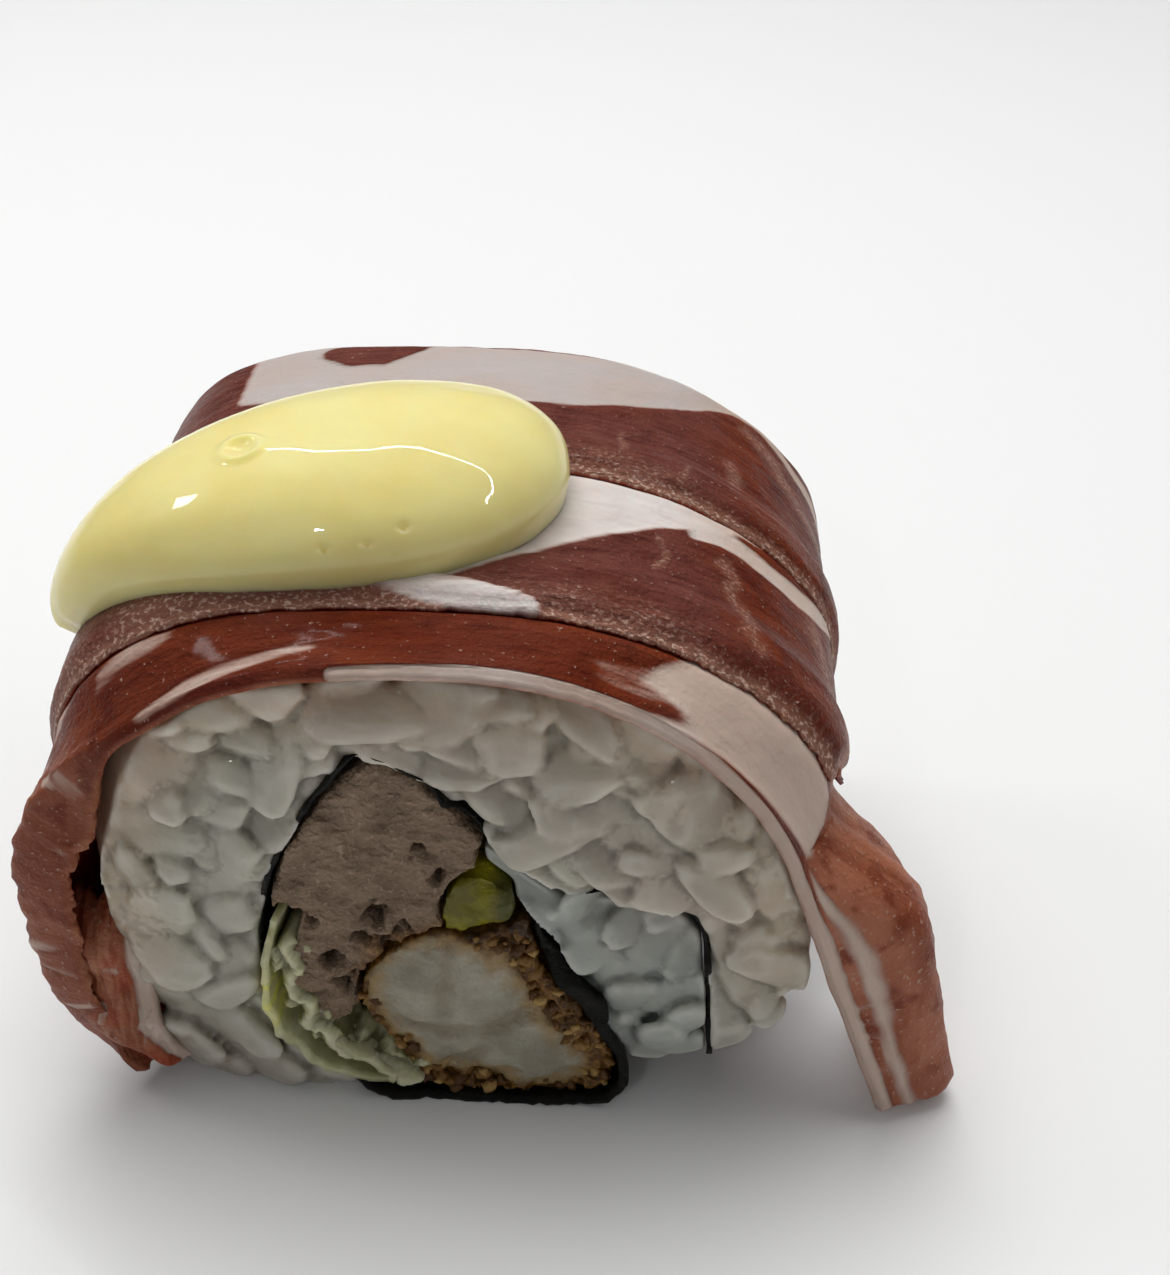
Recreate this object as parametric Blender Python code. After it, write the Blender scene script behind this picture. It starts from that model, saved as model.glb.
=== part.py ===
"""One cut piece of an iberico ham inside-out roll, standing on its flat underside.

Sizes below are in millimetres and become metres where each mesh is made.
X runs across the cut face, Y along the roll with the front cut face at -Y, Z up.
The origin is under the middle of the whole piece, at the level it stands on.
"""
import math
import random

import bmesh
import bpy
from mathutils import Matrix, Vector, noise
from mathutils.geometry import delaunay_2d_cdt, intersect_point_line

MM = 0.001
GAP = 0.25
HALF_LENGTH = 17.3

# The rice arch on the cut is four quarter ovals round one centre. Behind the front
# cut its covered part swells out to a fuller, squarer arch.
ARCH_X = -2.6
ARCH_Z = 14.4
RICE_LEFT = 20.5
RICE_LEFT_SWELL = 3.0
RICE_RIGHT = 21.0
RICE_RIGHT_SWELL = 4.0
RICE_TOP = 21.2
RICE_TOP_SWELL = 2.1
RICE_SIDE_SWELL_DEPTH = 7.0
RICE_TOP_SWELL_DEPTH = 20.0
RICE_FOOT_LEFT = 15.0
RICE_FOOT_RIGHT = 11.0
SQUARE_TOP_LEFT = 3.0
SQUARE_TOP_LEFT_SWELL = 1.0
SQUARE_TOP_RIGHT = 2.1
SQUARE_TOP_RIGHT_SWELL = 0.2
SQUARE_FOOT_LEFT = 5.0
SQUARE_FOOT_RIGHT = 3.0
RICE_FACE_RECESS = 0.9
RICE_SPACING = 2.4
RICE_RINGS = (-13.6, -10.8, -7.6, 0.0, 8.0)
RICE_COLOUR = (0.55, 0.54, 0.50)
RICE_INNER_COLOUR = (0.42, 0.44, 0.44)
RICE_ROUGHNESS = 0.4
NO_INNER_POINTS = 60.0

# Cooked grains fused on the rice.
GRAIN_LENGTH = 5.9
GRAIN_WIDTH = 3.2
GRAIN_SIDES = 6
GRAIN_RINGS = (-0.27, 0.27)
GRAIN_SHOULDER = 0.95
GRAIN_SEED = 7
GRAIN_SIZES = (1.0, 0.86, 0.72)
GRAIN_SPREADS = (60.0, 60.0, 45.0, 45.0, 30.0, 30.0, 15.0, 15.0, 5.0)
GRAIN_TILT = 16.0
SIDE_GRAIN_STEP = 9
SIDE_GRAIN_DEPTH_STEP = 5.0
SIDE_GRAIN_SINK = 1.0
SIDE_GRAIN_CLEARANCE = 0.55

# One sheet of nori, rolled: from its outer end at the lower right, over the
# filling, down the left, along the underside and up inside to its inner end.
NORI_THICKNESS = 0.4
NORI_ROUTE = [
    (13.7, 4.3), (13.4, 10.5), (12.7, 16.6), (10.0, 19.0), (4.4, 19.0), (0.6, 22.3),
    (-2.8, 27.3), (-6.0, 29.9), (-8.6, 29.2), (-13.0, 22.0), (-15.0, 15.0),
    (-15.4, 8.0), (-13.8, 3.6), (-8.0, 0.25), (-3.0, 0.25), (3.0, 0.25),
    (7.0, 1.0), (7.8, 4.2), (5.4, 9.6), (3.2, 12.6), (2.4, 16.4),
]
NORI_OUTER_POINTS = 15
NORI_SPACING = 2.0
NORI_FLAT = 0.05
NORI_COLOUR = (0.012, 0.014, 0.008)

# Outlines of the fillings on the cut, before each is trimmed to its neighbours.
PRAWN_OUTLINE = [
    (-7.0, 13.4), (-4.6, 15.2), (-1.2, 15.3), (0.9, 16.4), (2.0, 16.8), (2.6, 13.6),
    (5.4, 8.6), (7.4, 4.4), (6.6, 1.2), (0.0, 0.6), (-6.6, 1.4), (-6.4, 4.2),
    (-8.4, 7.4), (-8.8, 10.6),
]
AVOCADO_OUTLINE = [
    (-1.4, 20.8), (0.6, 19.6), (0.8, 17.9), (-0.9, 16.2), (-3.0, 16.2), (-3.1, 18.7),
]
RICE_INNER_OUTLINE = [
    (-0.6, 22.9), (2.0, 21.4), (6.4, 19.4), (10.1, 19.2), (12.5, 15.8), (12.9, 10.4), (13.1, 5.0),
    (10.4, 3.8), (8.2, 4.2), (6.0, 8.4), (3.8, 12.0), (2.2, 15.4), (0.9, 18.6), (-0.6, 20.6),
]
PATE_OUTLINE = [
    (-6.8, 29.6), (-3.4, 28.2), (-1.0, 24.6), (1.4, 21.4), (-1.8, 17.4), (-4.6, 15.0),
    (-7.0, 13.4), (-8.6, 9.4), (-10.8, 7.0), (-12.9, 8.8), (-13.2, 13.4),
    (-14.0, 18.4), (-11.2, 24.7),
]
LETTUCE_THICKNESS = 0.8
LETTUCE_ROUTE = [
    (-12.9, 17.2), (-13.8, 14.4), (-14.3, 11.0), (-14.2, 8.0), (-12.9, 5.2),
    (-10.6, 2.9), (-8.2, 1.8), (-7.2, 2.7), (-8.6, 4.2), (-10.3, 5.6),
]
LETTUCE_RECESS = 0.4
LETTUCE_COLUMNS = 7
LETTUCE_COLOUR = (0.40, 0.42, 0.16)
FILLING_GAP = 0.35
LEAF_GAP = 0.55
FILLING_RECESS = 0.35
FILLING_RELIEF = 0.35
AVOCADO_RELIEF = 0.2
CRUST_RELIEF = 0.55
MEAT_RELIEF = 0.15
MEAT_CENTRE = Vector((-2.6, 8.2))
MEAT_RADIUS = 4.5
PRAWN_COLOUR = (0.30, 0.17, 0.05)
AVOCADO_COLOUR = (0.30, 0.33, 0.06)
PATE_COLOUR = (0.28, 0.18, 0.13)

# Three thin ham slices laid over the rice, each over the rear edge of the one before.
HAM_THICKNESS = 1.0
HAM_REST = 0.45
HAM_HEM_ANGLE = 212.0
HAM_BULGE = 5.9
HAM_BULGE_REST = 0.5
HAM_LEAVE_FRONT = 20.0
HAM_LEAVE_REAR = 14.0
FLAP_TURN = 6.6
FLAP_TURN_REAR = 1.0
FLAP_TURN_DEPTH = 2.6
FLAP_TURN_START = -1.0
FLAP_TURN_RUN = 8.0
FLAP_LENGTH = 26.0
HAM_LAP_RAMP = 2.6
HAM_SKIN = 0.85
HAM_REACHES = 34
HAM_DEPTHS = 7
HAM_EDGE_WAVE = 0.35
HAM_WAVE = 0.10
HAM_COLOURS = {
    "ham_front": (0.22, 0.045, 0.025),
    "ham_middle": (0.15, 0.04, 0.035),
    "ham_back": (0.13, 0.03, 0.025),
}
HAM_NAMES = ("ham_front", "ham_middle", "ham_back")
FRONT_EDGES = {"ham_front": -17.3, "ham_middle": -12.6, "ham_back": 0.1}
REAR_EDGES = {"ham_front": -9.2, "ham_middle": 3.2, "ham_back": 17.2}
RIGHT_HEMS = {"ham_front": 0.5, "ham_middle": 19.0, "ham_back": 7.0}
LEFT_HEMS = {"ham_front": 1.0, "ham_middle": 3.4, "ham_back": 2.2}

# The spoonful of mayonnaise lying across the top and over the left shoulder.
MAYO_LEFT = -25.2
MAYO_RIGHT = 6.0
MAYO_TILT = 0.18
MAYO_TAPER = 0.42
MAYO_MIDDLE_Y = -3.9
MAYO_HALF_WIDTH = 7.3
MAYO_HEIGHT = 3.4
MAYO_RIM = 3.6
MAYO_EASE = 5.0
MAYO_RINGS = 7
MAYO_TURNS = 28
MAYO_COLOUR = (0.80, 0.70, 0.26)


def smooth(value):
    """0 below 0, 1 above 1, and an eased step between."""
    t = min(1.0, max(0.0, value))
    return t * t * (3.0 - 2.0 * t)


def spline(points, steps, closed=False):
    """A smooth curve through the points, with so many steps to each span."""
    count = len(points)
    spans = count if closed else count - 1
    curve = []
    for span in range(spans):
        around = []
        for offset in (-1, 0, 1, 2):
            index = span + offset
            index = index % count if closed else min(max(index, 0), count - 1)
            around.append(Vector(points[index]))
        before, start, end, after = around
        for step in range(steps):
            t = step / steps
            bend = 2.0 * before - 5.0 * start + 4.0 * end - after
            turn = -before + 3.0 * start - 3.0 * end + after
            curve.append(start + 0.5 * t * ((end - before) + t * (bend + t * turn)))
    if not closed:
        curve.append(Vector(points[-1]))
    return curve


def resample(points, spacing, closed=False):
    """The same line with evenly spaced points."""
    line = list(points) + ([points[0]] if closed else [])
    lengths = [(b - a).length for a, b in zip(line, line[1:])]
    total = sum(lengths)
    count = max(3, round(total / spacing))
    even = []
    walked = 0.0
    index = 0
    for station in range(count if closed else count + 1):
        target = total * station / count
        while index < len(lengths) - 1 and walked + lengths[index] < target:
            walked += lengths[index]
            index += 1
        share = (target - walked) / lengths[index] if lengths[index] else 0.0
        even.append(line[index].lerp(line[index + 1], share))
    return even


def area(loop):
    """Signed area of a closed line, positive when it runs anticlockwise."""
    total = 0.0
    for a, b in zip(loop, loop[1:] + loop[:1]):
        total += a.x * b.y - b.x * a.y
    return 0.5 * total


def anticlockwise(loop):
    return loop if area(loop) > 0.0 else loop[::-1]


def side_step(line, distance, closed=False):
    """The line moved sideways, to its right where distance is positive."""
    count = len(line)
    moved = []
    for index, point in enumerate(line):
        before = line[index - 1] if index or closed else point
        after = line[(index + 1) % count] if index < count - 1 or closed else point
        along = (after - before).normalized()
        moved.append(point + distance * Vector((along.y, -along.x)))
    return moved


def ribbon(route, half_width, overrun=0.0):
    """The outline of a strip laid along a route, run on past both its ends."""
    route = list(route)
    route[0] = route[0] + (route[0] - route[1]).normalized() * overrun
    route[-1] = route[-1] + (route[-1] - route[-2]).normalized() * overrun
    right = side_step(route, half_width)
    left = side_step(route, -half_width)
    return anticlockwise(right + left[::-1])


def is_inside(point, loop):
    inside = False
    for a, b in zip(loop, loop[1:] + loop[:1]):
        if (a.y > point.y) != (b.y > point.y):
            cross = a.x + (point.y - a.y) * (b.x - a.x) / (b.y - a.y)
            if point.x < cross:
                inside = not inside
    return inside


def distance_to_loop(point, loop):
    nearest = 1.0e9
    for a, b in zip(loop, loop[1:] + loop[:1]):
        share = intersect_point_line(point, a, b)[1]
        foot = a.lerp(b, min(1.0, max(0.0, share)))
        nearest = min(nearest, (foot - point).length)
    return nearest


def trim(outline, cutters):
    """What is left of an outline once the cutters are taken from it: its largest loop."""
    loops = [anticlockwise(outline)] + [anticlockwise(cutter) for cutter in cutters]
    points = []
    faces = []
    for loop in loops:
        faces.append(list(range(len(points), len(points) + len(loop))))
        points += [Vector((p.x, p.y)) for p in loop]
    cut = delaunay_2d_cdt(points, [], faces, 1, 1.0e-5)
    corners, triangles, owners = cut[0], cut[2], cut[5]
    following = {}
    for triangle, owner in zip(triangles, owners):
        if owner != [0] and set(owner) != {0}:
            continue
        for a, b in zip(triangle, triangle[1:] + triangle[:1]):
            if following.get(b, {}).pop(a, None) is None:
                following.setdefault(a, {})[b] = True
    best = []
    while any(following.values()):
        start = next(a for a, ends in following.items() if ends)
        loop = [start]
        here = start
        while True:
            here_next = next(iter(following[here]))
            following[here].pop(here_next)
            if here_next == start:
                break
            loop.append(here_next)
            here = here_next
        loop = [Vector(corners[i]) for i in loop]
        if abs(area(loop)) > abs(area(best or [Vector((0, 0))] * 3)):
            best = loop
    return anticlockwise(best)


def make_object(name, points, faces, colour, roughness, soft=True):
    """One sub-part as a closed mesh, with its own material."""
    mesh = bpy.data.meshes.new(name)
    mesh.from_pydata([Vector(p) * MM for p in points], [], faces)
    if soft:
        mesh.shade_smooth()
        mesh.set_sharp_from_angle(angle=math.radians(50.0))
    piece = bpy.data.objects.new(name, mesh)
    bpy.context.scene.collection.objects.link(piece)
    finish = bpy.data.materials.new(name + "_finish")
    finish.use_nodes = True
    shader = finish.node_tree.nodes["Principled BSDF"]
    shader.inputs["Base Color"].default_value = (*colour, 1.0)
    shader.inputs["Roughness"].default_value = roughness
    shader.inputs["Metallic"].default_value = 0.0
    finish.diffuse_color = (*colour, 1.0)
    mesh.materials.append(finish)
    return piece


def fill_points(loop, spacing, margin=0.55):
    """Points on a triangular grid inside the loop, clear of its line by so many spacings."""
    low_x = min(p.x for p in loop)
    high_x = max(p.x for p in loop)
    low_z = min(p.y for p in loop)
    high_z = max(p.y for p in loop)
    inner = []
    row = 0
    z = low_z
    while z < high_z:
        x = low_x + (0.5 * spacing if row % 2 else 0.0)
        while x < high_x:
            point = Vector((x, z))
            if is_inside(point, loop) and distance_to_loop(point, loop) > margin * spacing:
                inner.append(point)
            x += spacing
        z += spacing * 0.866
        row += 1
    return inner


def loaf(name, loop, spacing, front, back, colour, roughness, stations=(), shift=None):
    """A piece that runs through the roll: the same outline at both cut faces.

    front and back give the depth of each face at (x, z); stations are the depths
    of further rings along its sides; shift may move a point, given (x, y, z).
    """
    inner = fill_points(loop, spacing)
    flat = loop + inner
    cut = delaunay_2d_cdt(flat, [], [list(range(len(loop)))], 1, 1.0e-5)
    triangles = [[cut[3][corner][0] for corner in face] for face in cut[2]]
    rim = len(loop)
    points = [(p.x, front(p.x, p.y), p.y) for p in flat]
    faces = [tuple(face) for face in triangles]
    rings = [list(range(rim))]
    for depth in stations:
        rings.append(list(range(len(points), len(points) + rim)))
        points += [(p.x, depth, p.y) for p in loop]
    start = len(points)
    rings.append(list(range(start, start + rim)))
    points += [(p.x, back(p.x, p.y), p.y) for p in flat]
    faces += [tuple(start + corner for corner in reversed(face)) for face in triangles]
    for near, far in zip(rings, rings[1:]):
        for index in range(rim):
            after = (index + 1) % rim
            a, b, c, d = near[index], near[after], far[after], far[index]
            faces.append((a, d, b))
            faces.append((b, d, c))
    if shift:
        points = [shift(*point) for point in points]
    return make_object(name, points, faces, colour, roughness)


def ruffle(x, z, scale, seed):
    """A repeatable uneven value from about -1 to 1 over the cut face."""
    return noise.noise(Vector((x / scale, seed, z / scale)))


def swelling(depth, run=RICE_SIDE_SWELL_DEPTH):
    """How far the arch has swollen at one depth: 0 at the front cut, then 1."""
    return smooth((depth + HALF_LENGTH) / run)


def rice_reach(angle, depth=-HALF_LENGTH):
    """From the arch's centre to the skin of the rice, in one direction."""
    across = math.cos(angle)
    up = math.sin(angle)
    swell = swelling(depth)
    degrees = math.degrees(angle) % 360.0
    if across < 0.0:
        half = RICE_LEFT + RICE_LEFT_SWELL * swell * (1.0 - smooth((degrees - 180.0) / 25.0))
    else:
        half = RICE_RIGHT + RICE_RIGHT_SWELL * swell * smooth(degrees / 35.0) * (up > 0.0)
    if up >= 0.0:
        height = RICE_TOP + RICE_TOP_SWELL * swelling(depth, RICE_TOP_SWELL_DEPTH)
        power = (SQUARE_TOP_LEFT + SQUARE_TOP_LEFT_SWELL * swell if across < 0.0
                 else SQUARE_TOP_RIGHT + SQUARE_TOP_RIGHT_SWELL * swell)
    else:
        height = RICE_FOOT_LEFT if across < 0.0 else RICE_FOOT_RIGHT
        power = SQUARE_FOOT_LEFT if across < 0.0 else SQUARE_FOOT_RIGHT
    total = (abs(across) / half) ** power + (abs(up) / height) ** power
    return total ** (-1.0 / power)


def arch_point(angle, depth=-HALF_LENGTH, lift=0.0):
    reach = rice_reach(angle, depth) + lift
    return Vector((ARCH_X + reach * math.cos(angle), ARCH_Z + reach * math.sin(angle)))


def rice_outline():
    loop = []
    for degrees in range(-90, 270, 4):
        point = arch_point(math.radians(degrees))
        loop.append(Vector((point.x, max(0.0, point.y))))
    return loop


def rice_shift(x, y, z):
    """The skin of the rice swells behind the front cut; what lies inside does not."""
    offset = Vector((x - ARCH_X, z - ARCH_Z))
    angle = math.atan2(offset.y, offset.x)
    share = smooth((offset.length / rice_reach(angle) - 0.8) / 0.2)
    grown = rice_reach(angle, y) / rice_reach(angle)
    scale = 1.0 + share * (grown - 1.0)
    return (ARCH_X + offset.x * scale, y, max(0.0, ARCH_Z + offset.y * scale))


def grain_points(length, width):
    """One cooked grain about its own centre, lying along X, as rings and two tips."""
    points = [Vector((-0.5 * length, 0.0, 0.0))]
    radius = 0.5 * width * GRAIN_SHOULDER
    for place in GRAIN_RINGS:
        for side in range(GRAIN_SIDES):
            turn = 2.0 * math.pi * (side + 0.5) / GRAIN_SIDES
            points.append(Vector((place * length, radius * math.cos(turn), radius * math.sin(turn))))
    points.append(Vector((0.5 * length, 0.0, 0.0)))
    return points


def grain_faces():
    faces = []
    rings = len(GRAIN_RINGS)
    tip = 1 + rings * GRAIN_SIDES
    for side in range(GRAIN_SIDES):
        after = (side + 1) % GRAIN_SIDES
        faces.append((0, 1 + after, 1 + side))
        for ring in range(rings - 1):
            a = 1 + ring * GRAIN_SIDES + side
            b = 1 + ring * GRAIN_SIDES + after
            faces.append((a, b, b + GRAIN_SIDES, a + GRAIN_SIDES))
        last = tip - GRAIN_SIDES
        faces.append((last + side, last + after, tip))
    return faces


def face_grains(zone, side, spacing, draw):
    """Grains lying in one cut face of a rice zone, the largest placed first.

    side is -1 for the front face and +1 for the one behind. A grain takes a free spot
    where its whole outline fits the zone.
    """
    spots = fill_points(zone, 0.6 * spacing, 0.9)
    draw.shuffle(spots)
    taken = []
    grains = []
    for size in GRAIN_SIZES:
        for spot in spots:
            if any((spot - other).length < spacing * min(size + 0.1, far) for other, far in taken):
                continue
            for spread in GRAIN_SPREADS:
                length = GRAIN_LENGTH * size * draw.uniform(0.92, 1.1)
                width = GRAIN_WIDTH * size * draw.uniform(0.95, 1.08)
                round_arch = math.atan2(spot.y - ARCH_Z, spot.x - ARCH_X) + math.pi / 2.0
                heading = round_arch + math.radians(draw.uniform(-spread, spread))
                along = Vector((math.cos(heading), math.sin(heading)))
                across = Vector((-along.y, along.x))
                edge = []
                for step in range(10):
                    turn = 2.0 * math.pi * step / 10
                    edge.append(spot + along * (0.5 * length * math.cos(turn))
                                + across * (0.5 * width * math.sin(turn)))
                if all(is_inside(point, zone) for point in edge):
                    break
            else:
                continue
            taken.append((spot, size + 0.1))
            tilt = math.radians(draw.uniform(-GRAIN_TILT, GRAIN_TILT))
            deep = math.hypot(0.5 * length * math.sin(tilt), 0.5 * width * math.cos(tilt))
            depth = side * (HALF_LENGTH + draw.uniform(-0.3, 0.3) - deep)
            turned = (Matrix.Translation(Vector((spot.x, depth, spot.y)))
                      @ Matrix.Rotation(-heading, 4, "Y") @ Matrix.Rotation(tilt, 4, "Z"))
            grains.append([turned @ point for point in grain_points(length, width)])
    return grains


def fuse_grains(core, grains):
    """One union of the core with its grains, then only its outer body is kept."""
    heap = bpy.data.collections.new(core.name + "_grains")
    bpy.context.scene.collection.children.link(heap)
    faces = grain_faces()
    for points in grains:
        mesh = bpy.data.meshes.new("grain")
        mesh.from_pydata([point * MM for point in points], [], faces)
        heap.objects.link(bpy.data.objects.new("grain", mesh))
    union = core.modifiers.new("grains", "BOOLEAN")
    union.operation = "UNION"
    union.operand_type = "COLLECTION"
    union.collection = heap
    union.solver = "EXACT"
    graph = bpy.context.evaluated_depsgraph_get()
    fused = bpy.data.meshes.new_from_object(core.evaluated_get(graph))
    core.modifiers.clear()
    core.data = fused
    for grain in list(heap.objects):
        bpy.data.objects.remove(grain)
    bpy.data.collections.remove(heap)
    keep_outer_body(fused)
    fused.materials.clear()
    fused.materials.append(bpy.data.materials[core.name + "_finish"])
    fused.shade_smooth()
    fused.set_sharp_from_angle(angle=math.radians(50.0))


def keep_outer_body(mesh):
    """Drop loose scraps and the skins of sealed hollows from a fused mesh."""
    shape = bmesh.new()
    shape.from_mesh(mesh)
    bmesh.ops.dissolve_limit(
        shape, angle_limit=math.radians(0.5), verts=shape.verts, edges=shape.edges)
    bmesh.ops.triangulate(shape, faces=shape.faces)
    unseen = set(shape.faces)
    bodies = []
    while unseen:
        body = {unseen.pop()}
        front = list(body)
        while front:
            face = front.pop()
            for edge in face.edges:
                for other in edge.link_faces:
                    if other in unseen:
                        unseen.remove(other)
                        body.add(other)
                        front.append(other)
        bodies.append(body)
    bodies.sort(key=len)
    loose = [face for body in bodies[:-1] for face in body]
    bmesh.ops.delete(shape, geom=loose, context="FACES")
    shape.to_mesh(mesh)
    shape.free()


def make_nori(route):
    """A thin rolled sheet: both skins of the strip from cut to cut, closed all round."""
    line = resample(route, NORI_SPACING)
    right = side_step(line, 0.5 * NORI_THICKNESS)
    left = side_step(line, -0.5 * NORI_THICKNESS)
    right = [Vector((p.x, p.y if p.y > NORI_FLAT else 0.0)) for p in right]
    depths = (-HALF_LENGTH, 0.0, HALF_LENGTH)
    points = []
    for depth in depths:
        for skin in (right, left):
            points += [(p.x, depth, p.y) for p in skin]
    count = len(line)
    sheet = 2 * count
    faces = []

    def strip(a, b, c, d):
        faces.append((a, c, b))
        faces.append((a, d, c))

    for i in range(count - 1):
        strip(i, count + i, count + i + 1, i + 1)
        far = 2 * sheet
        strip(far + i, far + i + 1, far + count + i + 1, far + count + i)
        for ring in range(2):
            near = ring * sheet
            strip(near + i, near + i + 1, near + sheet + i + 1, near + sheet + i)
            low = near + count
            strip(low + i, low + sheet + i, low + sheet + i + 1, low + i + 1)
    for ring in range(2):
        near = ring * sheet
        last = count - 1
        strip(near, near + sheet, near + sheet + count, near + count)
        strip(near + last, near + count + last, near + sheet + count + last, near + sheet + last)
    return make_object("nori", points, faces, NORI_COLOUR, 0.45)


def ham_bed(depth):
    """The line that the ham follows at one depth, as points with their reach from the top.

    It rests on the rice over the arch, stands off it down the left, and hangs free
    down the right from where it leaves the rice.
    """
    bulge = HAM_BULGE + (HAM_BULGE_REST - HAM_BULGE) * swelling(depth)
    back = (depth + HALF_LENGTH) / (2.0 * HALF_LENGTH)
    leave = HAM_LEAVE_FRONT + (HAM_LEAVE_REAR - HAM_LEAVE_FRONT) * smooth(back)
    left = []
    degrees = 90.0
    while degrees <= HAM_HEM_ANGLE:
        out = smooth((degrees - 128.0) / 45.0) * (1.0 - 0.6 * smooth((degrees - 192.0) / 20.0))
        left.append(arch_point(math.radians(degrees), depth, bulge * out))
        degrees += 2.0
    right = []
    degrees = 90.0
    while degrees > leave:
        right.append(arch_point(math.radians(degrees), depth))
        degrees -= 2.0
    corner = arch_point(math.radians(leave), depth)
    ahead = (corner - arch_point(math.radians(leave + 2.0), depth)).normalized()
    turn = FLAP_TURN + (FLAP_TURN_REAR - FLAP_TURN) * smooth(1.5 * back)
    turn *= smooth((depth + HALF_LENGTH) / FLAP_TURN_DEPTH)
    steps = 26
    for step in range(steps + 1):
        reach = FLAP_LENGTH * step / steps
        aside = turn * smooth((reach - FLAP_TURN_START) / FLAP_TURN_RUN)
        right.append(corner + ahead * reach + Vector((aside, 0.0)))
    bed = [(0.0, left[0])]
    for side, line in ((-1.0, left), (1.0, right)):
        walked = 0.0
        for a, b in zip(line, line[1:]):
            walked += (b - a).length
            bed.append((side * walked, b))
    bed.sort(key=lambda station: station[0])
    return bed


BEDS = {}


def kept_bed(depth):
    key = round(depth, 3)
    if key not in BEDS:
        BEDS[key] = ham_bed(key)
    return BEDS[key]


def bed_point(reach, depth):
    """The ham's bed at one reach along the arch, from the top, and one depth."""
    bed = kept_bed(depth)
    low, high = 0, len(bed) - 1
    while high - low > 1:
        middle = (low + high) // 2
        if bed[middle][0] <= reach:
            low = middle
        else:
            high = middle
    span = bed[high][0] - bed[low][0]
    flat = bed[low][1].lerp(bed[high][1], (reach - bed[low][0]) / span)
    return Vector((flat.x, depth, flat.y))


def bed_normal(reach, depth):
    """Straight out of the bed."""
    along = bed_point(reach + 0.8, depth) - bed_point(reach - 0.8, depth)
    back = bed_point(reach, depth + 0.5) - bed_point(reach, depth - 0.5)
    return along.cross(back).normalized()


def hem_reach(depth, height, side):
    """How far from the top the bed has come down to a height, to the left or the right."""
    bed = kept_bed(depth)
    down = [station for station in bed if station[0] * side >= 0.0]
    down.sort(key=lambda station: abs(station[0]))
    for above, below in zip(down, down[1:]):
        if below[1].y <= height:
            share = (above[1].y - height) / (above[1].y - below[1].y)
            return above[0] + (below[0] - above[0]) * share
    return down[-1][0]


def lap_lift(name, depth):
    """How far a slice rides up where its front part lies on the slice before it."""
    place = HAM_NAMES.index(name)
    if place == 0:
        return 0.0
    under = REAR_EDGES[HAM_NAMES[place - 1]]
    drop = smooth((depth - under - 0.5) / HAM_LAP_RAMP)
    return (HAM_THICKNESS + GAP) * (1.0 - drop)


def make_ham(name):
    """One thin slice draped over the arch, wavy at its edges."""
    seed = 10.0 * HAM_NAMES.index(name)
    skins = ([], [])
    for i in range(HAM_REACHES + 1):
        share = 2.0 * i / HAM_REACHES - 1.0
        along = 45.0 * share
        front = FRONT_EDGES[name]
        rear = REAR_EDGES[name]
        if name != "ham_front":
            front += HAM_EDGE_WAVE * noise.noise(Vector((along / 5.0, seed, 0.0)))
        if name != "ham_back":
            rear += HAM_EDGE_WAVE * noise.noise(Vector((along / 6.0, seed, 5.0)))
        for j in range(HAM_DEPTHS + 1):
            depth = front + (rear - front) * (j / HAM_DEPTHS) ** 1.25
            hem = LEFT_HEMS[name] if share < 0.0 else RIGHT_HEMS[name]
            reach = abs(share) * hem_reach(depth, hem, math.copysign(1.0, share))
            wave = HAM_WAVE * noise.noise(Vector((along / 3.5, seed, depth / 3.5)))
            place = bed_point(reach, depth)
            out = bed_normal(reach, depth)
            lift = HAM_REST + lap_lift(name, depth) + wave
            skins[0].append(place + out * (lift + HAM_SKIN))
            skins[1].append(place + out * lift)
    return close_skins(name, skins, HAM_REACHES, HAM_DEPTHS, HAM_COLOURS[name], 0.38)


def close_skins(name, skins, rows, columns, colour, roughness):
    """A thin solid from its inner and outer skin, both split into triangles alike."""
    points = skins[0] + skins[1]
    width = columns + 1
    other = len(skins[0])
    faces = []
    for i in range(rows):
        for j in range(columns):
            a = i * width + j
            b, c, d = a + width, a + width + 1, a + 1
            for corner in ((a, b, c), (a, c, d)):
                faces.append(corner)
                faces.append(tuple(other + index for index in reversed(corner)))
    rim = [j for j in range(columns)]
    rim += [i * width + columns for i in range(rows)]
    rim += [rows * width + j for j in range(columns, 0, -1)]
    rim += [i * width for i in range(rows, 0, -1)]
    for a, b in zip(rim, rim[1:] + rim[:1]):
        faces.append((a, b, other + b))
        faces.append((a, other + b, other + a))
    return make_object(name, points, faces, colour, roughness)


def top_lift(depth):
    """The outside of the uppermost slice at one depth, over the ham's bed."""
    lift = 0.0
    for name in FRONT_EDGES:
        if FRONT_EDGES[name] - 0.6 <= depth <= REAR_EDGES[name] + 0.6:
            lift = max(lift, lap_lift(name, depth) + HAM_THICKNESS + HAM_REST)
    return lift


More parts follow.
